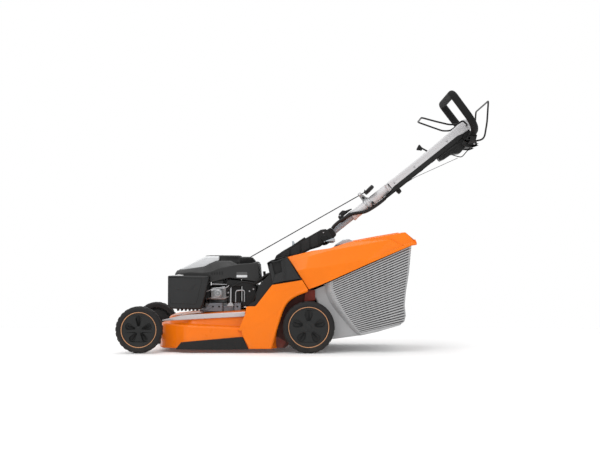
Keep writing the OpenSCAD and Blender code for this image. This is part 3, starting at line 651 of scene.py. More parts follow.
def hinge_brackets():
    """Brackets over the rear corners, with a recess, two ribs and a raised field."""
    shell = fillet([(-127, 262, 2), (-21, 283.5, 2), (-72, 367, 3), (-79, 373, 4), (-134, 357, 6),
        (-149, 348, 4), (-137, 311, 3)])
    recess = rounded([(-131, 346), (-97, 354), (-92, 312), (-121, 302)], 3)
    plate("hinge_bracket", shell, -247, -236, DARK_GREY, holes=[recess], bevel=2, mirror=True,
        node="hinge_brackets")
    core = fillet([(-127, 262, 2), (-12, 279, 1), (-16, 285, 1), (-38, 317, 1), (-59, 349, 1),
        (-74, 371, 3), (-134, 356, 6), (-149, 348, 4), (-137, 311, 3)])
    plate("bracket_core", core, -236, -200.5, bevel=1, mirror=True)
    for k, x in enumerate((-88, -83)):
        rib = rounded([(x + 1, 276), (x + 4, 276.5), (x + 2, 362), (x - 1, 361)], 1, 2)
        plate(f"bracket_rib_{k}", rib, -248, -246, DARK_GREY, bevel=0.5, mirror=True)
    field = rounded([(-76, 280), (-34, 288), (-70, 350), (-77, 353)], 3)
    plate("bracket_field", field, -247.8, -246, DARK_GREY, bevel=0.6, mirror=True)


def console():
    """A hood between the brackets and a forked arm up to the handle's pivot."""
    hood = [(-196, 166), (-192, 166), (-179, 256), (-157, 281), (-137, 304), (-146, 341), (-132, 349),
        (-76, 362), (-76, 368), (-134, 354), (-151, 346), (-141, 305), (-160, 284), (-183, 258)]
    plate("console_hood", hood, -200, 200, bevel=1.2, node="handle_console")
    cheek = rounded([(-229, 179), (-196, 200), (-184, 257), (-160, 283), (-135, 307), (-122, 262),
        (-186, 180)], 4)
    plate("hood_cheeks", cheek, -240, -232, bevel=2, mirror=True)
    for k in range(9):
        y = -160 + 40 * k
        plate(f"hood_rib_{k}", [(-198, 172), (-195, 172), (-184, 254), (-187, 254)], y - 2, y + 2,
            bevel=0.8)
    lower = [(-130, 354, 4), (-76, 367, 8), (-30, 374, 8), (20, 402, 8), (60, 414, 6), (76, 426, 6),
        (104, 434, 4), (109, 450, 5), (96, 474, 8), (82, 485, 6), (62, 482, 10), (0, 447, 6), (-4, 452, 2),
        (-16, 444, 3), (-54, 418, 6), (-89, 398, 6), (-118, 378, 4)]
    plate("console_cheeks", fillet(lower), -58, -32, bevel=4, segments=4, mirror=True)
    core = [(-126, 356, 3), (-76, 368, 8), (-30, 375, 8), (20, 403, 4), (10, 423, 3), (-20, 396, 3),
        (-95, 391, 4), (-116, 378, 3)]
    plate("console_core", fillet(core), -33, 33, bevel=1.5)
    plates([
        ("console_panel_0", [(-100, 372), (-66, 377), (-66, 400), (-100, 392)], 4, -59.2, -56, 1),
        ("console_panel_1", [(-58, 379), (-24, 385), (-24, 424), (-58, 404)], 4, -59.2, -56, 1),
        ("console_panel_2", [(-16, 389), (14, 406), (14, 446), (-16, 432)], 4, -59.2, -56, 1),
        ("console_panel_3", [(22, 410), (50, 418), (50, 466), (22, 450)], 4, -59.2, -56, 1)],
        DARK_GREY, mirror=True)
    cap = [(0.3, 57), (13, 57), (13, 62), (11, 64.6), (8, 64.6), (7, 62), (0.3, 62)]
    for side, name in SIDES:
        screw(f"console_screw_{name}", (72, side * 58.4, 470), (0, side, 0), 3, STEEL)
        lathe(f"pivot_cap_{name}", cap, PIVOT, (0, side, 0), steps=32)
    latch = fillet([(-55, 414, 2), (-42, 421, 2), (-44, 428, 2), (-48, 437, 3), (-56, 435, 3),
        (-54, 426, 2)])
    plate("box_latch", latch, -52, -40, CLEAR, bevel=1.5)
    looms = ([(-134, -222, 306), (-150, -210, 303), (-170, -190, 288), (-190, -170, 272),
        (-206, -156, 262)], [(-140, -222, 284), (-160, -205, 280), (-178, -190, 258), (-194, -175, 220),
        (-206, -160, 196)])
    for k, route in enumerate(looms):
        sweep(f"loom_{k}", bent(route, 14), circle(5), mirror=True)


hinge_brackets()
console()


# ---- Grass box ----

SIDE_ROWS = [[(11, 245), (46, 257), (82, 272), (255, 349), (407, 414), (430, 421)], [(-35, 316), (0, 324),
    (70, 331), (236, 358), (398, 420), (428, 426)], [(-56, 348), (10, 372), (93, 395), (330, 438),
    (378, 416), (425, 430)], [(-71, 370), (23, 394), (93, 404), (182, 429), (277, 447), (390, 466)],]
LID_TOP = [(-71, 370), (23, 394), (93, 404), (182, 429), (277, 447), (390, 466), (423, 438)]
FLAP = joint_at("discharge_flap_turn")
FLAP_SLOPE = radians(13.6)
FLAP_LENGTH, RECESS_END = 165, 116
BOX_REAR = [(411, 414), (401, 310), (388, 229), (384, 182), (388, 142), (382, 119), (366, 108)]


def lid_top_z(x):
    """Height of the lid's top edge at x."""
    for (x0, z0), (x1, z1) in zip(LID_TOP, LID_TOP[1:]):
        if x <= x1:
            return z0 + (z1 - z0) * (x - x0) / (x1 - x0)
    return LID_TOP[-1][1]


def on_flap(s, n):
    """(x, z) of a point s behind the discharge flap's hinge and n above the flap."""
    return from_axis(FLAP, FLAP_SLOPE, s, n)


def lid_sides():
    """Each side is faceted: it leans in at one crease and again at the next, up to the top."""
    depth = [-LID_HALF, -LID_HALF + 2, -LID_HALF + 22, -TOP_HALF]
    verts = [(x, y, z) for row, y in zip(SIDE_ROWS, depth) for x, z in row]
    faces = [(a, a + 1, a + 7, a + 6) for r in range(3) for a in range(r * 6, r * 6 + 5)]
    build("lid_sides", verts, faces, ORANGE, BOX, thickness=3, bevel=2, segments=4, mirror=True, sharp=5,
        node="grass_box_lid")


def lid_top():
    """A shallow crown across the width, cut out where the discharge flap lies."""
    xs = [-71, -40, -10, 23, 60, 93, RECESS_END, 150, 182, 230, 277, 320, 360, 390, 406, 423]
    ys = [-TOP_HALF, -RECESS_HALF, -130, -70, 0]
    cols = len(ys)
    verts, faces = [], []
    for r, x in enumerate(xs):
        crown = 5 if x > RECESS_END + 20 else 1.5
        verts += [(x, y, lid_top_z(x) + crown * (1 - (y / TOP_HALF) ** 2)) for y in ys]
        if r:
            open_from = 1 if x <= RECESS_END else cols
            faces += [(a, a + 1, a + cols + 1, a + cols) for a in range((r - 1) * cols, r * cols - 1) if a %
                cols < open_from]
    build("lid_top", verts, faces, ORANGE, BOX, thickness=3, mirror=True, sharp=24)


def lid_recess():
    """Floor, end and walls of the place where the discharge flap lies, and the lid's rear lip and beads."""
    rim_z = lid_top_z(RECESS_END)
    floor = [on_flap(-24, -10), on_flap(172, -10), on_flap(172, -13), on_flap(-24, -13)]
    plate("lid_recess_floor", floor, -RECESS_HALF, RECESS_HALF, ORANGE, BOX, bevel=0.8)
    end = [on_flap(170, -13), on_flap(175, -13), (RECESS_END + 2, rim_z), (RECESS_END - 4, rim_z + 1)]
    plate("lid_recess_end", end, -RECESS_HALF, RECESS_HALF, ORANGE, BOX, bevel=0.8)
    wall = [on_flap(-24, -13), on_flap(175, -13), (RECESS_END, rim_z + 1), (93, 404), (23, 394), (-71, 370)]
    plate("lid_recess_walls", wall, -RECESS_HALF - 3, -RECESS_HALF, ORANGE, BOX, bevel=0.6, mirror=True)
    lip = [(407, 413), (430, 417), (431, 424), (425, 439), (420, 437), (424, 424), (407, 418)]
    plate("lid_rear_lip", lip, -LID_HALF + 12, LID_HALF - 12, ORANGE, BOX, bevel=1.5)
    for name, spread in (("inner", 40), ("outer", 120)):
        bead = [(x, spread, lid_top_z(x) + 4.6 * (1 - (spread / TOP_HALF) ** 2)) for x in
            range(190, 372, 30)]
        tube(f"lid_bead_{name}", bead, 3, ORANGE, BOX, mirror=True)


def along(points, t):
    """The point a share t of the way along a polyline."""
    points = [Vector(p) for p in points]
    spans = [(b - a).length for a, b in zip(points, points[1:])]
    left = t * sum(spans)
    for a, b, span in zip(points, points[1:], spans):
        if left <= span:
            return a.lerp(b, left / span)
        left -= span
    return points[-1]


def ribbed(name, at, marks, slots, pierced, **more):
    """A ribbed screen of 30 rows. at(u, v, depth) places a point; slots are (start, end) shares of u
    that are open in the grooves of the rows that pierced(v, u) allows."""
    rows = 30
    us = sorted(set(marks + [u for slot in slots for u in slot]))
    profile = [(0.0, 0.0), (0.46, 0.0), (0.60, 1.0), (0.90, 1.0)]
    lines = [((r + t) / rows, level) for r in range(rows) for t, level in profile] + [(1.0, 0.0)]
    n = len(us)
    verts = [at(u, v, level) for v, level in lines for u in us]
    opens = {us.index(a) for a, b in slots}
    ridges, grooves = [], []
    for line in range(len(lines) - 1):
        v = lines[line][0]
        for c, u in enumerate(us[:-1]):
            if line % 4 == 2 and c in opens and pierced(v, u):
                continue
            a = line * n + c
            kind = grooves if line % 4 in (1, 2) and 0.03 <= u < 0.97 and v < 0.95 else ridges
            kind.append((a, a + 1, a + n + 1, a + n))
    # Groove walls and floors take the darker grey: painted shade between the ribs.
    build(f"{name}_grooves", verts, grooves, "groove_painted_shade", BOX, sharp=28, **more)
    build(name, verts, ridges, GREY, BOX, sharp=28, **more)


def box_side():
    """The screen on each side, drawn in at the front so that it passes inside the rear wheel."""
    front = [(94, 273), (98, 241), (115, 201), (141, 159), (171, 119), (196, 88), (216, 69)]

    def at(u, v, level):
        p = along(front, v).lerp(along(BOX_REAR, v), min(max(u, -0.12), 1))
        y = -BOX_HALF
        if u < 0:
            t = min(1, -u / 0.10)
            y += (BOX_HALF - NARROW_HALF + 6) * t * t * (3 - 2 * t)
        if u > 0.93:
            t = (u - 0.93) / 0.07
            y += 16 * (1 - sqrt(max(0, 1 - t * t)))
        fade = min(1, max(0, (u + 0.03) / 0.06)) * (v < 0.96)
        return (p.x, y + 3 * level * fade, p.y)

    def pierced(v, u):
        left, right = 0.12 + 0.12 * v, 0.80 - 0.14 * v
        return 0.06 < v < 0.90 and not 0.40 < v < 0.455 and left < u < right

    slots = [(0.145 + 0.084 * k, 0.145 + 0.084 * k + 0.05) for k in range(8)]
    marks = [-0.12, -0.10, -0.075, -0.05, -0.025, 0, 0.03, 0.93, 0.95, 0.97, 0.985, 1.0]
    ribbed("box_sides", at, marks, slots, pierced, mirror=True)


def box_rear():
    """The screen across the back, pierced on both sides of its middle."""
    half = BOX_HALF - 16

    def at(u, v, level):
        p = along(BOX_REAR, v)
        return (p.x - 2.2 * level * (0.02 < u < 0.98), -half + 2 * half * u, p.y)

    def pierced(v, u):
        return 0.1 < v < 0.85 and abs(u - 0.5) > 0.09

    slots = [(0.075 + 0.055 * k, 0.105 + 0.055 * k) for k in range(16)]
    ribbed("box_rear", at, [0, 0.04, 0.96, 1.0], slots, pierced)


def box_body():
    """The nose fits between the wheels; the wide screens stand round a dark core behind it."""
    nose = fillet([(12, 242, 3), (30, 218, 10), (42, 201, 14), (85, 54, 16), (107, 51, 10), (218, 66, 8),
        (255, 300, 4), (255, 347, 3), (82, 271, 3)], 5)
    plate("box_nose", nose, -NARROW_HALF, NARROW_HALF, GREY, BOX, bevel=8, segments=5,
        node="grass_box_body")
    core = fillet([(100, 274, 3), (124, 200, 20), (206, 78, 12), (279, 90, 12), (352, 110, 14),
        (378, 124, 14), (382, 150, 10), (379, 197, 20), (392, 290, 20), (401, 408, 2), (255, 346, 2)], 5)
    plate("box_core", core, -BOX_HALF + 7, BOX_HALF - 7, "box_shade", BOX, bevel=2)
    floor = [(210, 66), (279, 81), (368, 107.5), (366, 111), (278, 85), (210, 70)]
    plate("box_floor", rounded(floor, 1.5, 2), -BOX_HALF + 0.6, BOX_HALF - 0.6, GREY, BOX, bevel=1.2)
    for k in range(5):
        y = -120 + 60 * k
        rib = rounded([(30, 214), (88, 47.5), (107, 46), (214, 63), (214, 70), (100, 60)], 3, 2)
        plate(f"box_keel_{k}", rib, y - 2.5, y + 2.5, GREY, BOX, bevel=1)
    handle = [(386, -70, 330), (402, -66, 330), (404, -50, 330), (404, 50, 330), (402, 66, 330),
        (386, 70, 330)]
    sweep("box_rear_handle", bent(handle, 12), circle(6), body=BOX, up=UP)


def lid_flange():
    """The lid's lower edge turns in over the box, so that its side stands proud of the screen."""
    path = [(13, 245), (82, 272), (255, 349), (407, 414), (428, 421)]
    rings = [[(x, -LID_HALF + 0.6, z + 0.4), (x, -LID_HALF + 0.6, z + 3), (x, -BOX_HALF + 6, z + 3.4),
        (x, -BOX_HALF + 6, z + 1)] for x, z in path]
    loft("lid_flange", rings, ORANGE, BOX, mirror=True)


def discharge_flap():
    """Ribbed leaf between the tunnel and the box, with its hinge pin and two grabs."""
    body = "discharge_flap"
    leaf = [on_flap(2, -1.5), on_flap(FLAP_LENGTH, -1.5), on_flap(FLAP_LENGTH, 1.5), on_flap(2, 1.5)]
    plate("discharge_leaf", rounded(leaf, 1), -FLAP_HALF, FLAP_HALF, DARK_GREY, body, bevel=1, node=body)
    for k, s in enumerate((30, 60, 90, 120, 150)):
        rib = [on_flap(s - 2, 1), on_flap(s + 2, 1), on_flap(s + 1.4, 4), on_flap(s - 1.4, 4)]
        plate(f"discharge_rib_{k}", rib, -FLAP_HALF + 14, FLAP_HALF - 14, DARK_GREY, body, bevel=0.6)
    profile = [(0.3, -171), (4.2, -171), (5, -170), (5, 170), (4.2, 171), (0.3, 171)]
    lathe("discharge_pin", profile, FLAP, ACROSS, DARK_GREY, body, steps=28)
    grab = [on_flap(112, 2), on_flap(150, 2), on_flap(146, 16), on_flap(118, 16)]
    plate("discharge_grab", rounded(grab, 5), -152, -108, DARK_GREY, body, bevel=3, mirror=True)


def level_flap():
    """Clear flap in the lid that lifts while the box fills, and the seats beside it."""
    shape = fillet([(118, 412.5, 2), (182, 429.8, 4), (190, 431.6, 2), (190, 437, 3), (176, 444, 6),
        (146, 438.5, 20), (121, 421, 8)])
    plate("level_flap_shell", shape, -60, 60, CLEAR, "level_flap", bevel=3.5, segments=4,
        node="level_flap")
    for k in range(5):
        y = (31 * k - 62) / 1.6
        plate(f"level_flap_rib_{k}", [(150, 438), (172, 442), (172, 444), (150, 440.5)], y - 1.5, y + 1.5,
            CLEAR, "level_flap", bevel=0.5)
    seat = fillet([(68, 431, 2), (118, 431, 2), (118, 449, 6), (98, 442, 12)])
    plate("flap_seat", seat, -100, -64, CLEAR, BOX, bevel=3, mirror=True)


lid_sides()
lid_top()
lid_recess()
lid_flange()
box_body()
box_side()
box_rear()
discharge_flap()
level_flap()


# ---- Engine ----

def on_crank(dx, dy, z):
    return (CRANK.x + dx, dy, z)


def shroud():
    """Blower housing: a lower box, an upper part that leans in from a shoulder line, a label
    and louvres."""
    shoulder = [(-516, 303), (-460, 311), (-409, 308), (-374, 313), (-344, 325), (-304, 334), (-268, 341),
        (-213, 345), (-192, 348)]
    crown = [(-511, 318), (-460, 325), (-403, 333), (-385, 344), (-356, 356), (-300, 356), (-276, 343),
        (-208, 343), (-196, 353)]
    lower = fillet([(-517, 293, 3), (-378, 293, 3), (-378, 270, 6), (-300, 289, 20), (-186, 272, 6),
        (-183, 287, 5), (-188, 346, 4)]) + shoulder[::-1]
    plate("shroud_lower", lower, -150, 150, SHROUD, bevel=1.6, node="engine_shroud")
    between = [(x * 0.25 + u * 0.75, z * 0.25 + w * 0.75) for (x, z), (u, w) in zip(shoulder, crown)]
    edges = ((-148.5, shoulder, -1.5), (-144, shoulder, 2), (-126, between, 0), (-112, crown, 0),
        (0, crown, 0.8))
    rings = [[(x, y, z + rise) for x, z in edge] for y, edge, rise in edges]
    loft("shroud_upper", rings, SHROUD, closed=False, caps=False, mirror=True, thickness=3, sharp=34)
    end = fillet([(-200, 352, 1), (-187, 337, 5), (-188, 320, 2), (-202, 330, 2)])
    plate("shroud_tail", end, -112, 112, SHROUD, bevel=1.5)
    for k in range(8):
        z = 300 + 5.5 * k
        rib = [(-187, z), (-181.6, z + 0.4), (-181.8, z + 2.6), (-187, z + 3)]
        plate(f"shroud_vent_{k}", rib, -142, -96, bevel=0.5)
    for name, low, high, y, look in (("lower", 290, 299.4, -150.8, "pale_plastic"),
            ("upper", 300, 311, -150.7, "shroud_label")):
        label = rounded([(-273, low), (-231, low), (-231, high), (-273, high)], 1.5)
        plate(f"label_{name}", label, y, -149.5, look, bevel=0.2)
    for k in range(5):
        x = -372 + 10 * k
        slot = rounded([(x, 300), (x + 5, 300), (x + 5, 311 + k), (x, 309 + k)], 2, 3)
        plate(f"shroud_louvre_{k}", slot, -151, -149, bevel=0.4, mirror=True)
    plates([
        ("recoil_tail", [(-262, 344), (-213, 344), (-200, 348), (-212, 364), (-246, 373), (-262, 373)], 4,
            10, 70, 4),
        ("rope_outlet", [(-264, 350), (-247, 350), (-247, 364), (-264, 374)], 3, -14, 14, 3)], SHROUD)


def recoil():
    """Ribbed starter housing on top of the engine."""
    profile = [(84, 342), (89, 342), (85, 351), (79, 358), (77, 366), (75, 374), (70, 377.4), (58, 378.2),
        (57, 375.5), (44, 375.5), (43, 378.2), (22, 378.2), (20, 376), (0.4, 376)]
    lathe("recoil_dome", profile, CRANK_FOOT, UP, node="recoil_housing")
    at = Vector(on_crank(0, 0, 376.6))
    for k, (x, y) in enumerate(circle(1, 20)):
        out = Vector((x, y, 0))
        tube(f"recoil_spoke_{k:02d}", [at + out * 45, at + out * 56.5], 1.6, sides=8)
    for k in range(3):
        a = tau * k / 3 + 0.5
        screw(f"recoil_screw_{k}", on_crank(67 * cos(a), 67 * sin(a), 377.2), UP, 3.4, STEEL)


def top_cover():
    """Pale cap that slopes up over the nose of the engine to the starter housing."""
    rings = []
    for x, z, w in ((-505, 320, 94), (-503, 323.5, 99), (-470, 339, 103), (-430, 360, 104),
            (-403, 372, 104), (-398, 373.5, 104), (-370, 374, 104), (-348, 373.5, 104), (-346, 371, 102)):
        low = 320 if x < -403 else 334 + (x + 403) * 0.42
        left = [(-w, low), (-w, z - 4), (5 - w, z), (20 - w, z + 0.8)]
        across = left + [(0, z + 1.4)] + [(-y, h) for y, h in reversed(left)]
        rings.append([(x, y, h) for y, h in across])
    loft("top_cover", rings, "pale_plastic", bevel=1.5, sharp=30, node="engine_top_cover")


def fuel_cap_piece():
    """Fluted cap with a grip bar, the neck it closes, and the tank."""
    at = joint_at("fuel_cap_turn")
    sides = 160
    rings = []
    for radius, h, flute in ((0.5, 371.6, 0), (17, 371.8, 0), (20, 370, 0), (24, 369.4, 0.3),
            (27.4, 367, 1), (28.4, 362, 1.3), (28.4, 344, 1.3), (27.5, 342.2, 0.6), (21, 342.2, 0)):
        ring = []
        for k in range(sides):
            r = radius - flute * (k % 4 > 1)
            ring.append((at.x + r * cos(tau * k / sides), at.y + r * sin(tau * k / sides), h))
        rings.append(ring)
    loft("fuel_cap_shell", rings, body="fuel_cap", caps=False, sharp=28, node="fuel_cap")
    bar = [(at.x - 17, 371.2), (at.x + 17, 371.2), (at.x + 14, 372), (at.x - 14, 372)]
    plate("fuel_cap_bar", bar, at.y - 3, at.y + 3, body="fuel_cap", bevel=0.3)
    neck = [(16, 256), (20, 256), (20, 354), (19, 357), (16, 357)]
    lathe("fuel_neck", neck, (at.x, at.y, 0), UP, node="fuel_tank")
    tank = rounded([(-252, 174), (-208, 174), (-197, 190), (-191, 258), (-252, 258)], 7)
    plate("tank_shell", tank, -141, 141, bevel=6, segments=4)


def muffler_guard():
    """Pressed cover with rounded corners, a raised field and small teeth along its lower edge."""
    face = fillet([(-540, 297, 5), (-540, 178, 12), (-530, 168, 8), (-412, 164, 12), (-404, 180, 8),
        (-378, 286, 6), (-382, 296, 4)])
    plate("muffler_cover", face, -186, -62, DARK_GREY, bevel=7, segments=5, node="muffler_guard")
    plates([
        ("muffler_field", [(-530, 286), (-530, 188), (-428, 186), (-404, 286)], 10, -187.4, -184, 1.6),
        ("muffler_fold", [(-508, 250), (-452, 244), (-438, 262), (-432, 262), (-450, 236), (-508, 244)], 3,
            -188.4, -186.4, 1)], DARK_GREY)
    for k in range(6):
        x = -506 + 15 * k
        tooth = rounded([(x, 172), (x + 11, 172), (x + 8, 159), (x + 3, 159)], 4, 4)
        plate(f"muffler_tooth_{k}", tooth, -182, -150, DARK_GREY, bevel=1.5)


def block():
    """Crankcase, sump, cylinder with fins, and the head."""
    case = [(14, 158), (96, 158), (96, 164), (80, 167), (74, 172), (74, 250), (68, 256), (14, 256)]
    lathe("crankcase", case, CRANK_FOOT, UP, ALLOY, node="engine_block")
    plates([
        ("sump", [(-403, 158), (-256, 158), (-256, 184), (-262, 189), (-398, 189), (-403, 182)], 5, -99, 92,
            4),
        ("cylinder", [(-470, 193), (-372, 193), (-372, 253), (-470, 253)], 8, -42, 42, 5),
        ("cylinder_head", [(-492, 190), (-468, 190), (-468, 260), (-492, 260)], 6, -50, 50, 4)], ALLOY)
    plates([
        ("sump_pad_0", [(-410, 154), (-382, 189), (-330, 189), (-330, 154)], 3, -118, -96, 2.5),
        ("sump_pad_1", [(-328, 154), (-328, 178), (-286, 178), (-286, 154)], 3, -110, -96, 2.5),
        ("sump_pad_2", [(-284, 154), (-284, 190), (-257, 190), (-257, 154)], 3, -118, -96, 2.5)],
        "sump_alloy")
    for k, x in enumerate((-368, -344, -271)):
        screw(f"sump_bolt_{k}", (x, -118.5, 174), (0, -1, 0), 3.6, WIRE)
    for k in range(8):
        x = -470 + 9 * k
        fin = [(-56, 186), (56, 186), (56, 262), (-56, 262)]
        edge = [(y * 0.985, 224 + (z - 224) * 0.985) for y, z in fin]
        rows = [[(x + dx, y, z) for y, z in row] for dx, row in ((0, fin), (1, edge), (3, edge))]
        loft(f"cylinder_fin_{k}", rows, ALLOY, bevel=0.6)


def intake():
    """Carburettor, its rods and the brackets beside it."""
    bowl_at = (-345, 0, 228)
    body = rounded([(-376, 203), (-314, 203), (-314, 251), (-376, 251)], 7)
    plate("carb_body", body, -138, -98, ALLOY, bevel=4, node="carburettor")
    bowl = [(0.4, -168), (13, -168), (18, -165), (19, -160), (19, -140), (15, -137), (0.4, -137)]
    lathe("carb_bowl", bowl, bowl_at, ACROSS, ALLOY, steps=40)
    ring = [(10, -170), (12.5, -170.5), (14, -169), (14, -167), (10, -167)]
    lathe("carb_ring", ring, bowl_at, ACROSS, STEEL, steps=40)
    screw("carb_plug", (-345, -168.5, 228), (0, -1, 0), 4.5, STEEL)
    plates([
        ("carb_arm", [(-372, 236), (-318, 250), (-316, 256), (-372, 244)], 3, -160, -154, 1),
        ("intake_foot", [(-314, 176), (-284, 176), (-290, 190), (-303, 190)], 3, -137, -131, 0.8)], STEEL)
    plates([
        ("governor_case", [(-318, 256), (-200, 252), (-196, 276), (-312, 282)], 5, -141, -96, 3),
        ("choke_case", [(-372, 256), (-324, 256), (-324, 280), (-372, 276)], 5, -144, -100, 3),
        ("blower_side", [(-404, 204), (-378, 200), (-380, 268), (-404, 268)], 6, -128, -96, 4),
        # A black block fills the recess beside the carburettor: painted shade in the recess.
        ("recess_shade_block", [(-312, 190), (-256, 190), (-256, 264), (-312, 268)], 6, -124, -80, 4)])
    post = fillet([(-300, 186, 1), (-294, 186, 1), (-293, 252, 3), (-299, 254, 3)], 3)
    plate("intake_post", post, -136, -131, STEEL, bevel=0.8)
    for name, radius, route in (
            ("link_rod_upper", 1.6,
                [(-398, -158, 232), (-352, -164, 250), (-318, -164, 246), (-302, -160, 258)]),
            ("link_rod_lower", 1.5,
                [(-392, -150, 204), (-360, -166, 214), (-330, -164, 206), (-304, -158, 214)]),
            ("governor_spring", 1.8, [(-312, -148, 262), (-372, -150, 264)])):
        tube(name, route, radius, STEEL, sides=10)
    hoop = bent([(-276, -146, 192), (-276, -146, 238), (-241, -146, 240), (-241, -146, 194)], 10)
    sweep("intake_hoop", hoop, circle(2.6, 12), STEEL)
    for k, at in enumerate(((-306, -142, 230), (-222, -150, 236), (-206, -150, 244))):
        screw(f"engine_screw_{k}", at, (0, -1, 0), 3.4, STEEL)


def filter_box():
    """Ribbed air filter on the far side."""
    side = rounded([(-520, 197), (-400, 197), (-400, 288), (-520, 288)], 12)
    plate("filter_cover", side, 56.6, 169, bevel=8, segments=4, node="air_filter_box")
    for k in range(5):
        z = 212 + 14 * k
        bar = rounded([(-506, z), (-414, z), (-414, z + 5), (-506, z + 5)], 2, 3)
        plate(f"filter_rib_{k}", bar, 168, 171, bevel=0.8)


def control_lines():
    """A cable on each side, from a bracket by the engine into the console."""
    end = [(0.3, 0), (4.2, 0), (4.2, 16), (3, 18), (0.3, 18)]
    for side, name in SIDES:
        route = [(-300, side * 156, 250), (-250, side * 157, 275), (-200, side * 157, 266),
            (-184, side * 156, 268)]
        node = "control_cables" if side < 0 else None
        cable = tube(f"control_cable_{name}", route, 2.5, node=node)
        free_cord(cable, bent(route, 12))
        lathe(f"cable_end_{name}", end, route[0], (-0.7, 0, -0.7), steps=20)


shroud()
recoil()
top_cover()
fuel_cap_piece()
muffler_guard()
block()
intake()
filter_box()
control_lines()


# ---- Handle ----

def handle_plate(name, points, half, look=BLACK, body=HANDLE, steps=5, **more):
    """A piece drawn in the handle's own frame: (s along it, n square to it, corner radius)."""
    plate(name, handle_outline(points, steps), -half, half, look, body, **more)


def handle_lathe(name, profile, look, n=0.0, steps=48, **more):
    """A turned ring round the handle's axis, or a line n above it: profile is (radius, s)."""
    axis = (cos(HANDLE_ANGLE), 0, sin(HANDLE_ANGLE))
    lathe(name, profile, handle_point(0, 0, n), axis, look, HANDLE, steps=steps, **more)


def lower_handle():
    """Socket, ribbed lower tube, sleeve and wedge clamp."""
    socket = [(-24, -14, 10), (-24, 14, 10), (0, 27, 16), (46, 20, 5), (50, 16, 3), (50, -16, 3),
        (46, -20, 5), (0, -27, 16)]
    handle_plate("socket", socket, 30, bevel=5, segments=4, node="tube_socket")
    lathe("socket_boss", [(12, -31), (24, -31), (26, -29), (26, 29), (24, 31), (12, 31)], PIVOT, ACROSS,
        body=HANDLE, steps=40)
    profile = [(11, 49)]
    for k in range(22):
        s = 51 + 6.2 * k
        profile += [(12.6, s), (14, s + 1), (14, s + 4), (12.6, s + 5)]
    profile += [(13.6, 190), (13.6, 228), (11, 228)]
    handle_lathe("lower_tube_ribs", profile, "ribbed_tube", node="lower_tube")
    handle_lathe("mid_tube_shell", [(14, 150), (17.5, 150), (19, 152), (19, 372), (16, 372)], SILVER,
        node="mid_tube")
    handle_lathe("mid_tube_collar", [(19, 146), (20.6, 147), (20.6, 158), (19, 160)], SILVER)
    lugs = [(100, 5, 3), (120, 5, 3), (120, 34, 9), (110, 39, 6), (100, 34, 9)]
    for side, name in SIDES:
        y0, y1 = sorted((side * 14.8, side * 18))
        plate(f"clamp_lug_{name}", handle_outline(lugs), y0, y1, body=HANDLE, bevel=0.8)
    handle_plate("clamp_saddle", [(96, 8, 2), (148, 8, 2), (148, 21, 3), (96, 21, 3)], 14.6, bevel=2)
    wedge = [(98, 26, 3), (107, 23, 2), (150, 24, 4), (165, 24, 3), (163, 28, 3), (140, 36, 5),
        (131, 45, 5), (112, 43, 5)]
    handle_plate("clamp_wedge", wedge, 14, body="clamp_lever", bevel=3, segments=4, node="clamp_lever")
    handle_plate("clamp_wedge_field", [(112, 30, 3), (148, 29, 3), (130, 40, 4), (112, 41, 3)], 14.8,
        body="clamp_lever", bevel=1)
    pin("clamp_pin", joint_at("clamp_lever_turn"), 2.9, 18.5, STEEL, "clamp_lever", steps=20)


def bar():
    """Satin flat bar with a rounded end, a groove along each side and a black cable channel below."""
    outline = [(338, -16.5, 3), (338, 18, 3), (560, 18.4, 60), (700, 23, 60), (752, 27, 14), (774, 8, 12),
        (774, -6, 10), (752, -22, 14), (700, -18, 40), (600, -16.5, 40)]
    handle_plate("bar_shell", outline, 28, SILVER, steps=10, bevel=7, segments=6, node="upper_bar")
    handle_plate("bar_bead", [(346, 4, 0.8), (346, 6, 0.8), (745, 8, 0.8), (745, 4, 0.8)], 28.4, SILVER,
        bevel=0.6)
    handle_plate("bar_socket", [(328, -18, 4), (328, 18, 4), (346, 19, 4), (346, -19, 4)], 27, SILVER,
        bevel=5)
    handle_plate("speed_slot", [(536, 15, 2), (588, 15, 2), (588, 18.8, 1.5), (536, 18.8, 1.5)], 9, bevel=1)
    channel = [(290, -31, 3), (292, -22, 3), (330, -16.7, 2), (352, -8.5, 3), (690, -8.5, 10),
        (716, -18, 4), (700, -31, 4)]
    handle_plate("channel", channel, 29.2, bevel=4, node="cable_channel")
    for k in range(6):
        s = 360 + 62 * k
        handle_plate(f"channel_band_{k}", [(s, -32, 1.5), (s, -10, 1), (s + 9, -10, 1), (s + 9, -32, 1.5)],
            30, bevel=1.5)
    handle_plate("channel_clip", [(352, -31, 2), (372, -31, 2), (371, -46, 5), (355, -49, 4)], 10,
        bevel=2.5)
    for k, s in enumerate((366, 470, 640)):
        for side, name in SIDES:
            screw(f"bar_screw_{k}_{name}", handle_point(s, side * 28, 0), (0, side, 0), 3.4, STEEL, HANDLE)


def sleeve():
    """Corrugated cable sleeve that crosses the tube and runs up into the channel."""
    route = [(52, -21, 12), (67, -23, 16), (96, -26, 17), (130, -26, 13), (154, -26, 8), (173, -26, -3),
        (196, -24, -18), (228, -22, -24), (270, -8, -27), (300, -6, -26)]
    path = finely(bent([handle_point(*point) for point in route], 20, 12), 1.4)

    def corrugated(t):
        return 1.0 - 0.10 * (0.5 + 0.5 * cos(t * tau * 62))

    made = sweep("sleeve", path, circle(7.2), body=HANDLE, scale=corrugated, up=(0.1, 0.3, 1),
        node="cable_sleeve")
    free_cord(made, path)


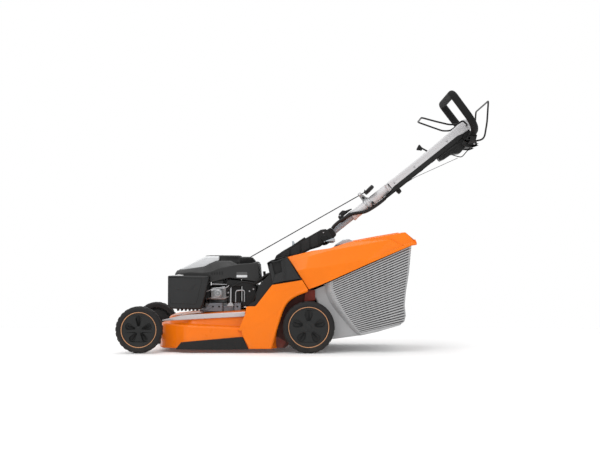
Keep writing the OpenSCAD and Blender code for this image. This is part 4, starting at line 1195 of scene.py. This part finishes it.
def grip():
    """Padded grip on a bent tube, with a seam at each end of the padding."""
    left = [(674, -28, 864), (682, -48, 872), (684, -70, 884), (676, -112, 896), (655, -139, 924),
        (583, -145, 1021)]
    path = finely(bent(mirrored(left), 20, 8), 8)

    def padding(t):
        away = abs(t - 0.5)
        return 1.0 if away < 0.40 else 1.0 - 0.14 * min(1, (away - 0.40) / 0.02)

    sweep("grip_padding", path, circle(15.2, 24), "soft_grip", HANDLE, scale=padding, node="grip_loop")
    ferrule = [(11, 0), (14, 0), (15, 2), (15, 12), (13, 14), (11, 14)]
    for side, name in SIDES:
        lathe(f"grip_ferrule_{name}", ferrule, (677, side * 34, 867), (0.3, side, 0.4), body=HANDLE,
            steps=36)


def bail_bracket():
    """Side plates that carry the bails, and the cable block below the end of the bar."""
    hole, bore = circle(4.5, 20, 664, 853), circle(3.1, 20, 657, 832)
    cheek = fillet([(633, 829, 3), (650, 818, 4), (680, 816, 4), (698, 822, 4), (692, 848, 8),
        (697, 867, 3), (687, 868, 3), (663, 866, 4), (641, 842, 5)])
    plate("bail_cheeks", cheek, -60, -53, body=HANDLE, holes=[hole, bore], bevel=1.2, mirror=True,
        node="bail_bracket")
    core = fillet([(640, 838, 4), (652, 822, 4), (680, 820, 6), (692, 826, 5), (688, 862, 5),
        (660, 862, 5)])
    plate("bail_core", core, -54, 54, body=HANDLE, holes=[bore], bevel=2)
    block = fillet([(541, 777, 4), (552, 765, 4), (572, 774, 8), (598, 792, 8), (632, 796, 6),
        (652, 818, 6), (640, 844, 6), (608, 830, 8)])
    handle_plate("block_neck", [(640, -28, 3), (700, -28, 3), (700, -52, 6), (640, -48, 6)], 26, bevel=3)
    plate("cable_block", block, -30, 30, body=HANDLE, bevel=5, segments=4)
    handle_plate("bail_saddle", [(700, -58, 8), (700, -17, 3), (744, -17, 3), (744, -44, 12)], 27, bevel=4)
    for k in range(4):
        at = Vector((556 + 20 * k, -31, 778 + 12 * k))
        lathe(f"cable_ferrule_{k}", [(0.4, 0), (4, 0), (4, 12), (2.4, 15), (0.4, 15)], at, (-0.6, 0, -0.8),
            WIRE, HANDLE, steps=18)
    for side, name in SIDES:
        screw(f"bail_screw_{name}", (684, side * 60.2, 830), (0, side, 0), 4, STEEL, HANDLE)
    loop = [(596, -33, 789), (625, -33, 780), (638, -33, 779), (673, -33, 820)]
    tube("stop_wire", loop, 2, WIRE, HANDLE, sides=8)
    route = [(622, -24, 776), (447, -24, 697), (372, -24, 650), (352, -22, 640)]
    cable = tube("stop_cable", route, 1, WIRE, HANDLE, sides=8)
    free_cord(cable, bent(route, 12))


def rope_guide():
    """Silver band round the tube with the eye that leads the starter rope."""
    for k, s in enumerate((219, 238)):
        handle_lathe(f"guide_band_{k}", [(19.1, s), (23, s), (23.5, s + 1), (23.5, s + 6), (23, s + 7),
            (19.1, s + 7)], STEEL, node=None if k else "rope_guide")
    handle_plate("guide_stem", [(221, 20, 1), (243, 20, 1), (238, 43, 3), (221, 44, 3)], 5, ALLOY, bevel=1)
    handle_plate("guide_window", [(226, 26, 2), (236, 26, 2), (234, 37, 2), (226, 37, 2)], 5.6, bevel=0.4)
    handle_lathe("guide_eye", [(4.6, 222), (7.4, 222), (8, 223), (8, 235), (7.4, 236), (4.6, 236),
        (4.6, 222)], STEEL, n=50, steps=32)
    screw("guide_clamp_bolt", handle_point(246, -20, -8), (0, -1, 0), 6, body=HANDLE)
    screw("guide_screw", handle_point(241, -10, 23), (-sin(HANDLE_ANGLE), 0, cos(HANDLE_ANGLE)), 3, STEEL,
        HANDLE)


def bails():
    """The two wire hoops with their axles, and the drive bail's bushings."""
    stop, drive = joint_at("stop_bail_turn"), joint_at("drive_bail_turn")
    stop_path = [(stop.x, -66, stop.z), (stop.x, -90, stop.z), (701, -141, 837), (711, -145, 849),
        (721, -145, 906), (727, -145, 991)]
    drive_path = [(drive.x, -34, drive.z), (drive.x, -60, drive.z), (632, -92, 921), (611, -98, 904),
        (578, -96, 903), (527, -80, 918), (470, -66, 936)]
    for body, at, path in (("stop_bail", stop, stop_path), ("drive_bail", drive, drive_path)):
        tube(f"{body}_wire", mirrored(path), 3.5, WIRE, body, sides=16, node=body)
        pin(f"{body}_axle", at, 3, -path[0][1], WIRE, body, steps=24)
    bushing = [(3.1, 28), (6, 28), (6.4, 30), (6.4, 32), (3.1, 32)]
    for side, name in SIDES:
        lathe(f"drive_bushing_{name}", bushing, drive, (0, side, 0), SILVER, HANDLE, steps=28)


def speed_lever():
    """Hub, stem and turned knob, leaning back from the handle."""
    body = "speed_lever"
    hub = handle_point(561, 0, 8)
    pin("speed_hub", hub, 5, 4.8, BLACK, body, steps=28, node=body)
    tube("speed_stem", [hub, handle_point(546, 0, 44)], 3.4, body=body)
    lean = HANDLE_ANGLE + radians(24)
    knob = [(0.3, -5), (6, -5), (7, -3), (9, 4), (12, 10), (13, 13), (12.4, 15.4), (9, 16.6), (0.3, 17)]
    lathe("speed_knob", knob, handle_point(543, 0, 41), (-sin(lean), 0, cos(lean)), body=body, steps=40)


def starter_tee(end, way):
    """The T grip: a flattened bar with finger waists."""
    up = way.cross(Vector(ACROSS))
    lean_cos, lean_sin = cos(radians(15)), sin(radians(15))
    rings = []
    for k in range(33):
        t = k / 32
        edge = min(1, 1.02 - abs(2 * t - 1) ** 6 * 0.5)
        waist = 1 - 0.10 * cos(tau * t * 3) * (abs(2 * t - 1) < 0.9)
        ring = []
        for c, s in circle(1, 24):
            u = 19 * copysign(abs(c) ** 0.4, c) * edge * waist
            v = 8.5 * copysign(abs(s) ** 0.4, s) * edge
            p = end + way * (24 + u * lean_cos - v * lean_sin) + up * (u * lean_sin + v * lean_cos)
            ring.append((p.x, -52 + 104 * t, p.z))
        rings.append(ring)
    loft("starter_tee", rings, body="starter_grip", node="starter_grip")


def starter():
    """The T grip and the rope that runs from the engine through the eye to it."""
    start, end = Vector((-250, 0, 357.5)), Vector((240, 0, 635.4))
    way = (end - start).normalized()
    starter_tee(end, way)
    lathe("starter_neck", [(2.2, 0.2), (4, 0.2), (4, 3), (7, 5), (11, 9), (2.2, 9)], end, way,
        body="starter_grip", steps=28)
    outlet, eye = start + way * 6, start.lerp(end, 0.969)

    def rope(name, a, b, count, bodies, **more):
        path = [a.lerp(b, k / count) for k in range(count + 1)]
        return path, sweep(name, path, circle(2, 12), "rope_cord", crossing(*bodies, a, b), **more)

    run, cord = rope("starter_cord", outlet, eye, 80, (ROOT, HANDLE), node="starter_rope")
    tail = rope("starter_cord_tail", eye, end, 24, (HANDLE, "starter_grip"))[1]
    free_cord(cord, run)


lower_handle()
bar()
sleeve()
grip()
bail_bracket()
rope_guide()
bails()
speed_lever()
starter()


# ---- What CAD already makes well enough ----

KEPT = {
    STEEL: ["muffler", "engine_bolts", "crankshaft", "blade_bolt", "crank_pulley", "front_axle_carrier",
        "rear_axle_carrier", "gearbox_pulley", "rear_drive_shaft"],
    ALLOY: ["flywheel", "gearbox"],
    BLACK: ["height_lever"],
    WIRE: ["pivot_bolt"],
    "blade_steel": ["blade"],
    "belt_rubber": ["drive_belt"],
    "ceramic_white": ["spark_plug"]}
for look, kept in KEPT.items():
    for node in kept:
        keep(node, look)


# ---- Floor, light and camera ----

def area(name, size, power, at, aim):
    """A square lamp that faces a point."""
    lamp = bpy.data.lights.new(name, "AREA")
    lamp.size = size
    lamp.energy = power
    made = bpy.data.objects.new(name, lamp)
    made.location = at
    made.rotation_euler = (Vector(aim) - Vector(at)).to_track_quat("-Z", "Y").to_euler()
    link_object(made)


def floor_sheet():
    mesh = bpy.data.meshes.new("floor")
    mesh.from_pydata([(-3.2, -4, 0), (3.2, -4, 0), (3.2, 1.3, 0), (-3.2, 1.3, 0)], [], [(0, 1, 2, 3)])
    mesh.materials.append(surface("floor_sheet", (0.90, 0.90, 0.90), roughness=0.85, vary=0.006,
        patches=0.6, bump=0.02, glow=0.05))
    floor = bpy.data.objects.new("floor", mesh)
    link_object(floor)


def sky():
    """White all round, a little dimmer overhead."""
    world = bpy.data.worlds.new("studio")
    world.use_nodes = True
    tree = world.node_tree
    background = tree.nodes["Background"]
    place, split = add_node(tree, "TexCoord"), add_node(tree, "SeparateXYZ")
    fade = add_node(tree, "MapRange", From_Min=0.3, From_Max=0.8, To_Min=1.0, To_Max=0.8)
    tree.links.new(place.outputs["Generated"], split.inputs["Vector"])
    tree.links.new(split.outputs["Z"], fade.inputs["Value"])
    tree.links.new(fade.outputs["Result"], background.inputs["Strength"])
    background.inputs["Color"].default_value = WHITE
    bpy.context.scene.world = world


def camera():
    lens = bpy.data.cameras.new("camera")
    lens.lens = 61.5
    lens.sensor_width = 36
    view = bpy.data.objects.new("camera", lens)
    view.location = (-0.0225, -4.2, 0.335)
    view.rotation_euler = (radians(90 + 2.29), 0, 0)
    link_object(view)
    bpy.context.scene.camera = view


floor_sheet()
sky()
camera()
area("key", 2.0, 44, (-1.6, -2.6, 3.2), (0, 0, 0.3))
area("top", 2.6, 34, (0, 0.4, 3.4), (0, 0, 0.2))
bpy.context.scene.view_settings.view_transform = "Standard"
